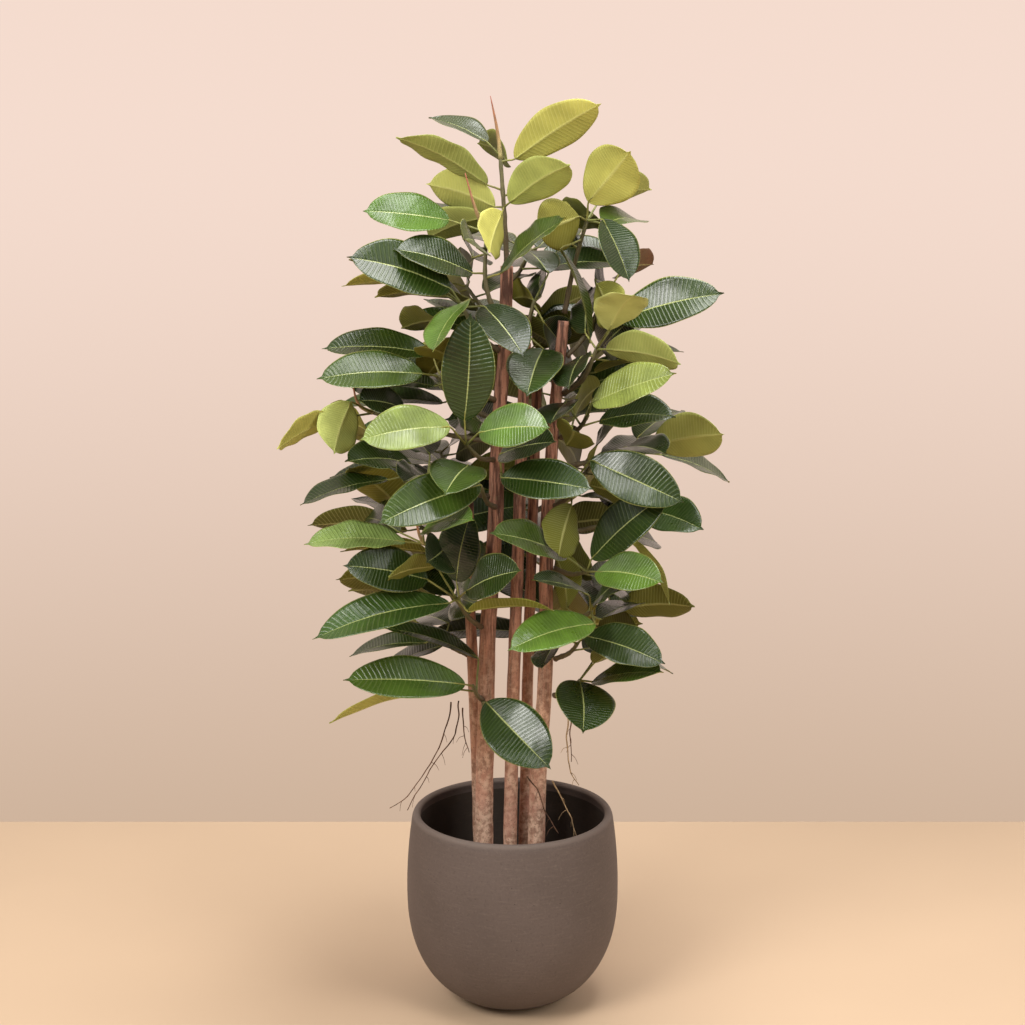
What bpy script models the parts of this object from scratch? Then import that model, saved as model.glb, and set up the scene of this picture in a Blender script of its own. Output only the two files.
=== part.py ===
"""A rubber plant in a round-bellied planter, at its real size in metres.

Four upright stems and a hidden fifth stand in the soil of the planter.  Leafy
shoots grow from the stems: each shoot is one grown body, a twig with its
leaf stalks, blades and bud sheath.  Thin air roots hang below the foliage.

The origin is the centre of the planter's foot, +Z is up, -Y is the front.
"""
import math

import bmesh
import bpy
from mathutils import Matrix, Vector
from mathutils.bvhtree import BVHTree

# ---------------------------------------------------------------- sizes
GAP = 0.0003                  # what touching pieces keep between them

BELLY_RADIUS = 0.2005         # planter, where it is widest
BELLY_HEIGHT = 0.22
PLANTER_HEIGHT = 0.371
MOUTH_RADIUS = 0.188          # outside of the rim
FOOT_RADIUS = 0.078
WALL = 0.014
BOWL_DEPTH = 0.2303           # the bowl's curve would close this far below the belly
BOWL_POWER = 2.4
FLOOR_THICKNESS = 0.02
STATIONS = (0.35, 0.30, BELLY_HEIGHT, 0.165, 0.115, 0.07, 0.035, 0.012)  # where its wall bends

SOIL_TOP = 0.225
SOIL_FOOT = 0.03

LEAF_THICKNESS = 0.0024       # at the midrib
STALK_RADIUS = 0.0022
STALK_LEAD = 0.014            # a stalk runs at least this far along its blade's line
EDGE_LIFT = 0.20              # how far a blade's edges rise, in half widths
BLADE_ARCH = 0.05             # rise of the blade's middle, in blade lengths
LEAF_CLEARANCE = 0.0025       # air kept between two leaves

TWIG_FOOT_RADIUS = 0.0050
TWIG_TIP_RADIUS = 0.0032
BUD_RADIUS = 0.0034
ROOT_RADIUS = 0.0013

FRONT = Vector((0, -1, 0.22)).normalized()   # the side that the plant shows
UP = Vector((0, 0, 1))

# ---------------------------------------------------------------- stems
# name: points from the soil upwards, and the radius at the foot and the top
STEMS = {
    "stem_left": ([(-0.052, -0.020, 0.13), (-0.054, -0.020, 0.32), (-0.050, -0.018, 0.55),
                   (-0.046, -0.015, 0.72), (-0.032, -0.012, 0.92), (-0.026, -0.010, 1.10),
                   (-0.014, -0.005, 1.26), (-0.010, 0.000, 1.40)], 0.0190, 0.0115),
    "stem_back_left": ([(-0.060, 0.030, 0.14), (-0.064, 0.026, 0.34), (-0.071, 0.024, 0.58),
                        (-0.078, 0.028, 0.74), (-0.082, 0.040, 0.98)], 0.0135, 0.0095),
    "stem_centre": ([(-0.004, -0.010, 0.13), (-0.004, -0.010, 0.34), (0.002, -0.004, 0.62),
                     (0.011, 0.000, 0.90), (0.018, 0.004, 1.12), (0.024, 0.006, 1.26)],
                    0.0142, 0.0100),
    "stem_right": ([(0.044, -0.024, 0.13), (0.045, -0.024, 0.32), (0.050, -0.018, 0.48),
                    (0.061, -0.012, 0.64), (0.063, -0.008, 0.90), (0.074, 0.000, 1.10),
                    (0.092, 0.006, 1.30)], 0.0185, 0.0105),
    "stem_back_right": ([(0.022, 0.030, 0.14), (0.024, 0.032, 0.34), (0.028, 0.034, 0.60),
                         (0.036, 0.036, 0.88), (0.046, 0.050, 1.20)], 0.0125, 0.0095),
}

# ---------------------------------------------------------------- shoots
# A shoot has a twig, as points from its stem outwards, and leaves.  A leaf is
# its blade's base and tip, how much of its width it turns to the front (above
# zero its upper face, below zero its underside), its width and its tone.
SHOOTS = {
    "shoot_top": ([(-0.010, 0.000, 1.405), (-0.015, -0.004, 1.50), (-0.022, 0.000, 1.60)], [
        (-.045, .00, 1.62, -.150, .06, 1.66, .45, .085, "dark"),
        (-.045, .00, 1.545, -.202, -.05, 1.635, -.50, .075, "gold"),
        (-.010, .03, 1.585, -.060, .16, 1.61, -.35, .070, "olive"),
        (-.032, .01, 1.505, -.155, .09, 1.54, -.80, .090, "gold"),
        (-.045, .03, 1.49, -.150, .14, 1.460, -.50, .080, "gold"),
        (-.018, -.03, 1.50, -.040, -.15, 1.44, -.65, .080, "gold"),
        (.004, .00, 1.59, .154, -.06, 1.69, -.85, .085, "gold"),
        (-.005, -.02, 1.515, .100, -.13, 1.59, -.85, .086, "gold"),
        (.010, .04, 1.53, .080, .17, 1.56, -.60, .085, "olive"),
    ]),
    "shoot_top_left": ([(-0.018, -0.012, 1.30), (-0.034, -0.045, 1.33), (-0.048, -0.052, 1.38),
                        (-0.046, -0.050, 1.47)], [
        (-.112, -.03, 1.485, -.262, -.06, 1.505, .88, .088, "bright"),
        (-.070, -.06, 1.395, -.205, -.11, 1.445, .70, .090, "dark"),
        (-.020, -.06, 1.395, .092, -.14, 1.50, .42, .085, "mid"),
        (-.070, .00, 1.43, -.075, .12, 1.47, .60, .085, "deep"),
        (-.060, -.09, 1.44, -.080, -.22, 1.47, .50, .080, "dark"),
    ]),
    "shoot_upper_left": ([(-0.026, -0.014, 1.25), (-0.062, -0.050, 1.285),
                          (-0.092, -0.075, 1.345)], [
        (-.108, -.09, 1.368, -.285, -.14, 1.430, .97, .105, "dark"),
        (-.135, -.05, 1.375, -.302, -.06, 1.375, -.30, .070, "gold"),
        (-.120, -.02, 1.350, -.250, .05, 1.340, -.25, .075, "olive"),
        (-.075, -.11, 1.355, -.138, -.24, 1.285, .50, .080, "bright"),
        (-.130, -.03, 1.305, -.205, .10, 1.275, -.50, .080, "olive"),
        (-.050, -.09, 1.340, .020, -.20, 1.270, .88, .088, "deep"),
    ]),
    "shoot_left_shoulder": ([(-0.032, -0.014, 1.16), (-0.080, -0.050, 1.185),
                             (-0.135, -0.080, 1.215)], [
        (-.145, -.05, 1.250, -.338, -.07, 1.265, .65, .090, "dark"),
        (-.158, -.12, 1.225, -.340, -.16, 1.225, .82, .090, "mid"),
        (-.140, -.04, 1.190, -.292, .03, 1.180, .50, .085, "dark"),
        (-.102, -.04, 1.255, -.160, .07, 1.190, -.50, .080, "olive"),
        (-.090, -.10, 1.240, -.160, -.21, 1.290, -.55, .080, "olive"),
    ]),
    "shoot_left_upright": ([(-0.034, -0.018, 1.05), (-0.058, -0.100, 1.07),
                            (-0.082, -0.155, 1.105)], [
        (-.084, -.16, 1.148, -.073, -.185, 1.341, .96, .094, "dark"),
        (-.108, -.20, 1.145, -.262, -.24, 1.130, .90, .088, "young"),
        (-.058, -.20, 1.135, .065, -.26, 1.155, .88, .085, "bright"),
    ]),
    "shoot_far_left": ([(-0.036, -0.006, 1.08), (-0.140, -0.035, 1.105), (-0.255, -0.055, 1.145)], [
        (-.245, -.01, 1.145, -.300, .12, 1.185, .60, .080, "dark"),
        (-.315, -.10, 1.140, -.410, -.19, 1.105, -.45, .075, "gold"),
        (-.290, -.07, 1.190, -.325, -.15, 1.085, -.92, .088, "gold"),
        (-.262, -.04, 1.110, -.345, .02, 1.125, -.60, .085, "olive"),
        (-.240, -.03, 1.090, -.330, .08, 1.080, -.45, .080, "olive"),
        (-.190, -.07, 1.150, -.265, -.18, 1.190, .75, .085, "deep"),
    ]),
    "shoot_left": ([(-0.038, -0.012, 0.98), (-0.110, -0.050, 1.00), (-0.190, -0.055, 1.03)], [
        (-.180, -.08, 1.055, -.290, -.20, 1.085, .60, .085, "dark"),
        (-.150, -.02, 1.060, -.210, .12, 1.080, .65, .088, "deep"),
        (-.225, -.05, 1.020, -.380, -.10, .985, .40, .082, "dark"),
        (-.150, -.09, 1.035, -.190, -.23, 1.055, .55, .085, "deep"),
        (-.130, -.03, .965, -.225, .06, .915, -.50, .080, "olive"),
    ]),
    "shoot_left_front": ([(-0.032, -0.030, 0.965), (-0.046, -0.100, 0.99),
                          (-0.056, -0.150, 1.03)], [
        (-.064, -.18, 1.040, -.255, -.24, .995, .85, .092, "mid"),
        (-.066, -.12, 1.075, -.115, -.28, 1.045, .92, .100, "mid"),
    ]),
    "shoot_left_light": ([(-0.044, -0.022, 0.87), (-0.110, -0.090, 0.885),
                          (-0.160, -0.125, 0.92)], [
        (-.200, -.06, .930, -.275, .09, .925, .65, .085, "dark"),
        (-.190, -.135, .925, -.368, -.165, .930, .55, .082, "young"),
        (-.160, -.16, .947, -.070, -.27, .995, .62, .080, "bright"),
        (-.155, -.05, .890, -.310, -.09, .900, -.25, .080, "olive"),
        (-.130, -.14, .920, -.170, -.26, .965, .50, .085, "deep"),
    ]),
    "shoot_low_left": ([(-0.058, -0.036, 0.74), (-0.080, -0.095, 0.775),
                        (-0.100, -0.150, 0.825)], [
        (-.107, -.11, .845, -.100, -.15, .980, .90, .085, "deep"),
        (-.150, -.15, .860, -.295, -.20, .900, .92, .088, "dark"),
        (-.127, -.20, .895, -.205, -.30, .900, -.40, .070, "olive"),
        (-.110, -.08, .810, -.217, .03, .830, .55, .085, "deep"),
        (-.112, -.18, .825, -.350, -.24, .776, .68, .088, "mid"),
        (-.080, -.19, .850, .015, -.28, .910, .75, .085, "dark"),
        (-.078, -.19, .812, .073, -.26, .835, -.32, .075, "olive"),
    ]),
    "shoot_lowest_left": ([(-0.056, -0.034, 0.60), (-0.064, -0.090, 0.625),
                           (-0.072, -0.125, 0.655)], [
        (-.062, -.07, .690, -.235, -.10, .760, .40, .075, "dark"),
        (-.085, -.16, .668, -.300, -.20, .690, .80, .090, "mid"),
        (-.100, -.10, .640, -.333, -.14, .595, -.30, .080, "gold"),
    ]),
    "shoot_low_back_left": ([(-0.084, 0.022, 0.67), (-0.115, 0.022, 0.685),
                             (-0.145, 0.020, 0.705)], [
        (-.160, .00, .700, -.308, .04, .665, .30, .078, "dark"),
        (-.130, .05, .680, -.257, .12, .600, .35, .080, "deep"),
        (-.150, -.02, .735, -.235, .05, .745, -.40, .080, "olive"),
        (-.120, .06, .720, -.180, .19, .700, .60, .085, "dark"),
    ]),
    "shoot_low_front": ([(-0.048, -0.038, 0.585), (-0.052, -0.070, 0.600),
                         (-0.054, -0.095, 0.614)], [
        (-.048, -.12, .622, .068, -.22, .530, .97, .108, "dark"),
    ]),
    "shoot_centre_front": ([(0.008, -0.018, 1.00), (-0.006, -0.070, 1.02),
                            (-0.020, -0.115, 1.045)], [
        (-.020, -.15, 1.045, .140, -.22, 1.040, .85, .088, "dark"),
        (-.024, -.12, 1.080, .073, -.22, 1.125, .70, .085, "deep"),
    ]),
    "shoot_centre_top": ([(0.024, 0.004, 1.275), (0.032, -0.002, 1.31), (0.040, -0.006, 1.34)], [
        (.055, -.03, 1.255, .025, -.19, 1.200, .95, .100, "dark"),
        (.062, -.02, 1.310, .105, .10, 1.230, .65, .085, "deep"),
        (.065, .00, 1.385, .015, .11, 1.390, .45, .080, "deep"),
        (.055, -.04, 1.345, .000, .10, 1.330, -.60, .082, "olive"),
        (.050, .04, 1.340, .060, .19, 1.380, .60, .085, "dark"),
    ]),
    "shoot_crown_right": ([(0.094, 0.006, 1.315), (0.110, 0.000, 1.40), (0.134, 0.002, 1.485)], [
        (.135, -.01, 1.515, .205, -.09, 1.610, -1.0, .105, "gold"),
        (.158, .05, 1.515, .255, .17, 1.525, -.45, .085, "gold"),
        (.118, -.02, 1.490, .043, -.05, 1.465, -.97, .095, "olive"),
        (.145, .04, 1.490, .090, .17, 1.460, -.60, .085, "olive"),
        (.158, -.03, 1.490, .208, -.06, 1.380, .78, .088, "dark"),
        (.165, .03, 1.470, .235, .16, 1.455, .55, .085, "mid"),
        (.085, -.08, 1.440, .138, -.13, 1.280, .18, .070, "deep"),
        (.090, -.02, 1.450, .070, .12, 1.490, -.50, .080, "olive"),
    ]),
    "shoot_right_shoulder": ([(0.098, 0.010, 1.235), (0.130, 0.020, 1.27), (0.160, 0.020, 1.33)], [
        (.195, .04, 1.385, .262, .17, 1.385, -.40, .080, "red"),
        (.125, .00, 1.390, .175, .11, 1.350, .75, .085, "deep"),
        (.150, -.03, 1.375, .172, -.12, 1.310, -.70, .080, "olive"),
        (.140, .07, 1.340, .170, .20, 1.310, .60, .085, "dark"),
        (.190, .05, 1.310, .300, .15, 1.280, .50, .080, "dark"),
    ]),
    "shoot_right_upper": ([(0.094, -0.006, 1.17), (0.128, -0.045, 1.205),
                           (0.150, -0.062, 1.262)], [
        (.187, -.05, 1.310, .370, -.10, 1.365, .90, .092, "dark"),
        (.168, -.11, 1.315, .205, -.20, 1.415, -.92, .092, "pale"),
        (.135, -.03, 1.285, .160, .06, 1.350, .55, .080, "deep"),
        (.125, -.06, 1.250, .095, -.18, 1.210, .60, .080, "deep"),
        (.166, -.08, 1.262, .292, -.17, 1.250, -.65, .085, "gold"),
    ]),
    "shoot_right_light": ([(0.088, -0.010, 1.09), (0.118, -0.060, 1.115),
                           (0.134, -0.090, 1.145)], [
        (.140, -.12, 1.173, .280, -.20, 1.240, .78, .085, "young"),
        (.145, -.03, 1.165, .252, .02, 1.180, .30, .080, "dark"),
        (.156, -.06, 1.130, .285, -.14, 1.155, .60, .085, "dark"),
        (.112, -.04, 1.180, .065, -.17, 1.145, .60, .082, "deep"),
        (.092, -.07, 1.090, .085, -.20, 1.160, -.60, .080, "olive"),
        (.112, -.01, 1.130, .165, .10, 1.170, -.50, .080, "olive"),
    ]),
    "shoot_far_right": ([(0.086, 0.004, 1.03), (0.160, 0.006, 1.045), (0.245, 0.000, 1.06)], [
        (.255, -.03, 1.080, .375, -.11, 1.115, -.90, .092, "gold"),
        (.275, .03, 1.050, .408, .10, .985, .35, .080, "dark"),
        (.170, .04, 1.030, .265, .15, .965, .55, .085, "deep"),
        (.230, .04, 1.080, .320, .16, 1.110, .55, .085, "dark"),
        (.200, -.03, 1.075, .270, -.16, 1.090, .50, .085, "deep"),
    ]),
    "shoot_right": ([(0.078, -0.022, 0.965), (0.106, -0.080, 1.00), (0.118, -0.105, 1.04)], [
        (.130, -.12, 1.078, .303, -.18, 1.010, .90, .092, "dark"),
        (.140, -.05, 1.010, .240, -.15, .990, -.70, .082, "olive"),
        (.105, -.10, .985, .080, -.19, .910, -.85, .082, "olive"),
    ]),
    "shoot_right_outer": ([(0.084, -0.002, 0.905), (0.150, 0.000, 0.92), (0.212, -0.004, 0.94)], [
        (.228, -.02, .960, .340, -.12, .945, .85, .088, "mid"),
        (.195, .03, .900, .275, .11, .865, .55, .085, "deep"),
        (.215, -.04, .905, .286, -.10, .800, -.20, .070, "gold"),
        (.180, .04, .950, .250, .17, .970, .55, .085, "dark"),
    ]),
    "shoot_right_bright": ([(0.080, -0.020, 0.845), (0.108, -0.075, 0.85),
                            (0.134, -0.115, 0.865)], [
        (.142, -.12, .890, .275, -.18, 1.020, .90, .088, "dark"),
        (.150, -.15, .878, .262, -.25, .885, .72, .082, "bright"),
        (.098, -.13, .905, -.026, -.24, 1.000, .52, .084, "mid"),
        (.140, -.08, .850, .215, .02, .790, .60, .082, "deep"),
    ]),
    "shoot_low_right": ([(0.080, -0.026, 0.735), (0.115, -0.085, 0.765), (0.142, -0.145, 0.80)], [
        (.135, -.12, .815, .212, -.22, .895, .90, .088, "dark"),
        (.136, -.18, .838, .034, -.26, .890, .30, .070, "deep"),
        (.145, -.19, .790, -.008, -.28, .768, .78, .084, "bright"),
        (.100, -.09, .790, .080, .01, .870, -.60, .080, "olive"),
        (.160, -.11, .780, .235, .00, .800, .40, .080, "deep"),
    ]),
    "shoot_lower_right": ([(0.080, -0.022, 0.675), (0.104, -0.070, 0.70), (0.118, -0.110, 0.73)], [
        (.130, -.14, .753, .270, -.20, .720, .80, .086, "dark"),
        (.130, -.06, .705, .190, .06, .670, .60, .082, "deep"),
        (.090, -.12, .745, .050, -.23, .720, .40, .075, "deep"),
    ]),
    "shoot_lowest_right": ([(0.078, -0.026, 0.605), (0.104, -0.058, 0.625),
                            (0.124, -0.075, 0.65)], [
        (.123, -.10, .655, .125, -.23, .600, .95, .110, "dark"),
        (.146, -.10, .650, .265, -.21, .678, .58, .082, "mid"),
        (.148, -.05, .675, .225, -.16, .735, -.50, .075, "olive"),
        (.165, .02, .690, .320, .10, .652, .40, .078, "dark"),
    ]),
}

# ---------------------------------------------------------------- the back
# The shoots behind the stems follow a rule: a twig leaves a stem towards the
# back and ends in a whorl of leaves that turns by the golden angle.
GOLDEN_ANGLE = math.radians(137.5)
BACK_BLADE = 0.19
# name: stem, height on it, heading (degrees from +X towards +Y), reach, leaves
BACK_SHOOTS = {
    "shoot_back_low": ("stem_back_right", 0.66, 65, 0.13, 7),
    "shoot_back_low_left": ("stem_back_left", 0.74, 118, 0.13, 7),
    "shoot_back_low_right": ("stem_right", 0.70, 28, 0.14, 7),
    "shoot_back_middle_left": ("stem_back_left", 0.86, 150, 0.13, 7),
    "shoot_back_middle": ("stem_back_right", 0.84, 88, 0.15, 8),
    "shoot_back_middle_right": ("stem_back_right", 0.94, 42, 0.15, 7),
    "shoot_back_left": ("stem_back_left", 0.96, 112, 0.15, 8),
    "shoot_back": ("stem_back_right", 1.06, 74, 0.16, 8),
    "shoot_back_upper_left": ("stem_left", 1.12, 140, 0.16, 8),
    "shoot_back_upper_right": ("stem_right", 1.16, 58, 0.15, 8),
    "shoot_back_upper": ("stem_back_right", 1.18, 104, 0.15, 8),
    "shoot_back_top_left": ("stem_left", 1.30, 128, 0.12, 8),
    "shoot_back_top": ("stem_left", 1.37, 66, 0.11, 8),
}

# bud sheaths: the shoot that carries one, and its points
BUDS = {
    "shoot_top": [(-0.021, 0.0, 1.59), (-0.027, 0.0, 1.64), (-0.039, 0.0, 1.70)],
    "shoot_top_left": [(-0.047, -0.05, 1.46), (-0.066, -0.06, 1.51), (-0.083, -0.06, 1.57)],
    "shoot_far_left": [(-0.250, -0.055, 1.143), (-0.275, -0.062, 1.16), (-0.286, -0.066, 1.20)],
    "shoot_left_light": [(-0.158, -0.124, 0.918), (-0.166, -0.135, 0.94), (-0.172, -0.14, 0.97)],
}

# air roots, hanging free from under the foliage
AIR_ROOTS = {
    "air_root_left_outer": [(-.114, -.05, .600), (-.118, -.06, .570), (-.132, -.07, .530),
                            (-.160, -.08, .478), (-.195, -.09, .430), (-.226, -.10, .412)],
    "air_root_left_inner": [(-.100, -.03, .596), (-.102, -.04, .556), (-.112, -.05, .528),
                            (-.142, -.06, .490), (-.172, -.07, .440), (-.196, -.08, .400)],
    "air_root_left_short": [(-.092, -.06, .592), (-.088, -.07, .545), (-.080, -.08, .512)],
    "air_root_right_outer": [(.105, -.05, .575), (.100, -.06, .535), (.104, -.07, .490),
                             (.110, -.07, .465), (.122, -.08, .448)],
    "air_root_right_inner": [(.112, -.03, .568), (.108, -.03, .530), (.110, -.04, .480)],
    "air_root_pale": [(.074, -.06, .450), (.090, -.07, .420), (.108, -.08, .385),
                      (.120, -.08, .345)],
    "air_root_brown": [(.026, -.05, .455), (.048, -.05, .425), (.066, -.05, .375),
                       (.086, -.06, .345)],
}

TONES = {  # base colour of the blades, as the plant shows them
    "dark": (0.030, 0.085, 0.030), "deep": (0.020, 0.055, 0.028), "mid": (0.050, 0.130, 0.040),
    "bright": (0.090, 0.260, 0.050), "young": (0.200, 0.340, 0.090),
    "olive": (0.160, 0.170, 0.035), "gold": (0.300, 0.330, 0.080),
    "pale": (0.480, 0.480, 0.160), "red": (0.130, 0.060, 0.035),
}


# ---------------------------------------------------------------- scene set-up
def start_empty():
    for thing in list(bpy.data.objects):
        bpy.data.objects.remove(thing, do_unlink=True)
    pieces = bpy.data.collections.new("rubber_plant")
    cutters = bpy.data.collections.new("cutters")
    for collection in (pieces, cutters):
        bpy.context.scene.collection.children.link(collection)
    return pieces, cutters


def make_material(name, colour, roughness):
    material = bpy.data.materials.new(name)
    material.use_nodes = True
    shader = material.node_tree.nodes["Principled BSDF"]
    shader.inputs["Base Color"].default_value = (*colour, 1)
    shader.inputs["Roughness"].default_value = roughness
    shader.inputs["Metallic"].default_value = 0
    return material


def add_object(name, mesh, collection, material=None):
    thing = bpy.data.objects.new(name, mesh)
    collection.objects.link(thing)
    if material:
        mesh.materials.append(material)
    return thing


def hide_cutter(thing):
    thing.hide_render = True
    thing.display_type = "WIRE"


def add_boolean(thing, cutter, operation):
    boolean = thing.modifiers.new(cutter.name, "BOOLEAN")
    boolean.operation = operation
    boolean.solver = "EXACT"
    boolean.use_self = operation == "UNION"
    boolean.object = cutter
    return boolean


# ---------------------------------------------------------------- tubes
def smooth_path(points, steps):
    """Catmull-Rom points through the given ones, with steps per stretch."""
    points = [Vector(p) for p in points]
    padded = [2 * points[0] - points[1], *points, 2 * points[-1] - points[-2]]
    path = []
    for i in range(len(points) - 1):
        a, b, c, d = padded[i:i + 4]
        for k in range(steps):
            t = k / steps
            path.append(0.5 * (2 * b + (c - a) * t + (2 * a - 5 * b + 4 * c - d) * t ** 2
                               + (3 * b - a - 3 * c + d) * t ** 3))
    path.append(points[-1])
    return path


def tube_mesh(name, path, radii, bevel_resolution=1):
    """A closed tube along the path, as a mesh that a Boolean can take."""
    curve = bpy.data.curves.new(name + "_line", "CURVE")
    curve.dimensions = "3D"
    curve.bevel_depth = 1.0
    curve.bevel_resolution = bevel_resolution
    curve.use_fill_caps = True
    spline = curve.splines.new("POLY")
    spline.points.add(len(path) - 1)
    for point, place, radius in zip(spline.points, path, radii):
        point.co = (*place, 1)
        point.radius = radius
    line = bpy.data.objects.new(name + "_line", curve)
    bpy.context.scene.collection.objects.link(line)
    shape = line.evaluated_get(bpy.context.evaluated_depsgraph_get())
    mesh = bpy.data.meshes.new_from_object(shape)
    bpy.data.objects.remove(line, do_unlink=True)
    mesh.name = name
    weld = bmesh.new()
    weld.from_mesh(mesh)
    bmesh.ops.remove_doubles(weld, verts=weld.verts, dist=0.00001)
    bmesh.ops.recalc_face_normals(weld, faces=weld.faces)
    weld.to_mesh(mesh)
    weld.free()
    return mesh


def tapered(path, foot, top):
    return [foot + (top - foot) * k / (len(path) - 1) for k in range(len(path))]


# ---------------------------------------------------------------- planter and soil
def bowl_radius(height):
    """The planter's outside radius: a bowl up to the belly, then an arc to the rim."""
    if height <= BELLY_HEIGHT:
        depth = (BELLY_HEIGHT - height) / BOWL_DEPTH
        return BELLY_RADIUS * (1 - depth ** BOWL_POWER) ** (1 / BOWL_POWER)
    rise = PLANTER_HEIGHT - BELLY_HEIGHT
    draw_in = BELLY_RADIUS - MOUTH_RADIUS
    arc = (rise ** 2 + draw_in ** 2) / (2 * draw_in)
    return BELLY_RADIUS - arc + math.sqrt(arc ** 2 - (height - BELLY_HEIGHT) ** 2)


def inner_radius(height):
    return max(bowl_radius(max(height, FLOOR_THICKNESS)) - WALL, 0.01)


def inner_wall(height):
    """The inside radius on the straight runs between the planter's own stations."""
    for high, low in zip(STATIONS, STATIONS[1:]):
        if low <= height <= high:
            share = (height - low) / (high - low)
            return inner_radius(low) + (inner_radius(high) - inner_radius(low)) * share
    return inner_radius(height)


def turn(name, outline, collection, material, steps=32):
    """A solid turned about Z from a closed outline of (radius, height), outside downwards."""
    mesh = bpy.data.meshes.new(name)
    points = [(radius, 0, height) for radius, height in outline]
    count = len(points)
    edges = [(k, (k + 1) % count) for k in range(count)
             if outline[k][0] > 0 or outline[(k + 1) % count][0] > 0]
    mesh.from_pydata(points, edges, [])
    thing = add_object(name, mesh, collection, material)
    screw = thing.modifiers.new("turn", "SCREW")
    screw.axis = "Z"
    screw.angle = math.tau
    screw.steps = screw.render_steps = steps
    screw.use_merge_vertices = True
    screw.merge_threshold = 0.00005
    return thing


def planter_outline():
    """From the top of the round lip down the outside, under the foot, and up the inside."""
    lip_radius = WALL / 2
    lip_centre = MOUTH_RADIUS - lip_radius

    def lip(*angles):
        return [(lip_centre + lip_radius * math.cos(math.radians(a)),
                 PLANTER_HEIGHT - lip_radius + lip_radius * math.sin(math.radians(a)))
                for a in angles]

    outside = [(bowl_radius(z), z) for z in STATIONS]
    inside = [(inner_radius(z), z) for z in reversed(STATIONS[:-1])]
    foot = [(FOOT_RADIUS + 0.006, 0.004), (FOOT_RADIUS, 0.0), (0.0, 0.0)]
    floor = [(0.0, FLOOR_THICKNESS), (FOOT_RADIUS, FLOOR_THICKNESS)]
    return lip(90, 45, 5) + outside + foot + floor + inside + lip(175, 135)


def build_planter(pieces, material):
    return turn("planter", planter_outline(), pieces, material)


def build_soil(pieces, material):
    """Potting soil, as the planter's inside shapes it, with a crown around the stems."""
    edge, foot_edge = SOIL_TOP - 0.012, STATIONS[-2] + 0.001
    heights = [edge, *(z for z in STATIONS if foot_edge < z < edge), foot_edge]
    side = [(inner_wall(z) - 2 * GAP, z) for z in heights]
    top = [(0.0, SOIL_TOP), (0.12, SOIL_TOP - 0.004)]
    foot = [(FOOT_RADIUS, SOIL_FOOT), (0.0, SOIL_FOOT)]
    return turn("soil", top + side + foot, pieces, material)


# ---------------------------------------------------------------- leaves
class Leaf:
    """A blade on a stalk: where it starts, how it runs and which way it faces."""

    def __init__(self, root, base, tip, show, width, tone):
        self.root = Vector(root)
        self.base = Vector(base)
        self.along = (Vector(tip) - self.base).normalized()
        self.length = (Vector(tip) - self.base).length
        self.width = width
        self.tone = tone
        self.face = self.facing(show)

    def facing(self, show):
        """The upper face's direction: show of it to the front, and the rest upwards."""
        front = (FRONT - self.along * FRONT.dot(self.along)).normalized()
        other = self.along.cross(front)
        if other.z < 0:
            other = -other
        return (front * show + other * math.sqrt(1 - show ** 2)).normalized()

    def turned(self, yaw, pitch, roll):
        """The same leaf, turned about its root on the twig."""
        copy = object.__new__(Leaf)
        copy.__dict__.update(self.__dict__)
        side = self.along.cross(self.face)
        spin = (Matrix.Rotation(roll, 3, self.along) @ Matrix.Rotation(yaw, 3, self.face)
                @ Matrix.Rotation(pitch, 3, side))
        copy.base = self.root + spin @ (self.base - self.root)
        copy.along = spin @ self.along
        copy.face = spin @ self.face
        return copy

    def middle(self, t):
        """A point of the midrib, t from 0 at the blade's base to 1 at its tip."""
        arch = BLADE_ARCH * self.length * math.sin(math.pi * t)
        return self.base + self.along * self.length * t + self.face * arch


def blade_outline(t):
    """Half the blade's width at t, as a share of the largest."""
    return math.sin(math.pi * t ** 0.92) ** 0.5 if 0 < t < 1 else 0.0


BLADE_STATIONS = (0.07, 0.27, 0.62, 0.87)


def leaf_rings(leaf, swell=0.0, stalk_from=0.0):
    """Four-point sections from the stalk's foot to the blade's last station."""
    rings = []
    stalk = leaf.base - leaf.root
    thick = STALK_RADIUS + swell
    stalk_side = leaf.face.cross(stalk)
    if stalk_side.length < 1e-6:
        stalk_side = leaf.face.cross(leaf.along)
    stalk_side.normalize()
    stalk_up = stalk.cross(stalk_side).normalized()
    foot = leaf.root + stalk * stalk_from
    rings.append([foot - stalk_side * thick, foot + stalk_up * thick,
                  foot + stalk_side * thick, foot - stalk_up * thick])
    side = leaf.face.cross(leaf.along).normalized()
    rings.append([leaf.base - side * thick, leaf.base + leaf.face * thick,
                  leaf.base + side * thick, leaf.base - leaf.face * thick])
    half = LEAF_THICKNESS / 2 + swell
    for t in BLADE_STATIONS:
        middle = leaf.middle(t)
        reach = leaf.width / 2 * blade_outline(t) + swell
        lift = leaf.face * reach * EDGE_LIFT
        rings.append([middle - side * reach + lift, middle + leaf.face * half,
                      middle + side * reach + lift, middle - leaf.face * half])
    return rings


def leaf_faces(leaf, swell=0.0, stalk_from=0.0):
    """The leaf as points and triangles, a loft through its sections to the tip."""
    rings = leaf_rings(leaf, swell, stalk_from)
    points = [point for ring in rings for point in ring]
    points.append(leaf.middle(1.0) + leaf.along * swell)
    faces = [(0, 1, 2), (0, 2, 3)]
    for r in range(len(rings) - 1):
        low, high = 4 * r, 4 * r + 4
        for k in range(4):
            n = (k + 1) % 4
            faces.append((low + k, high + k, high + n))
            faces.append((low + k, high + n, low + n))
    last, tip = 4 * (len(rings) - 1), len(points) - 1
    for k in range(4):
        faces.append((last + k, tip, last + (k + 1) % 4))
    return points, faces


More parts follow.
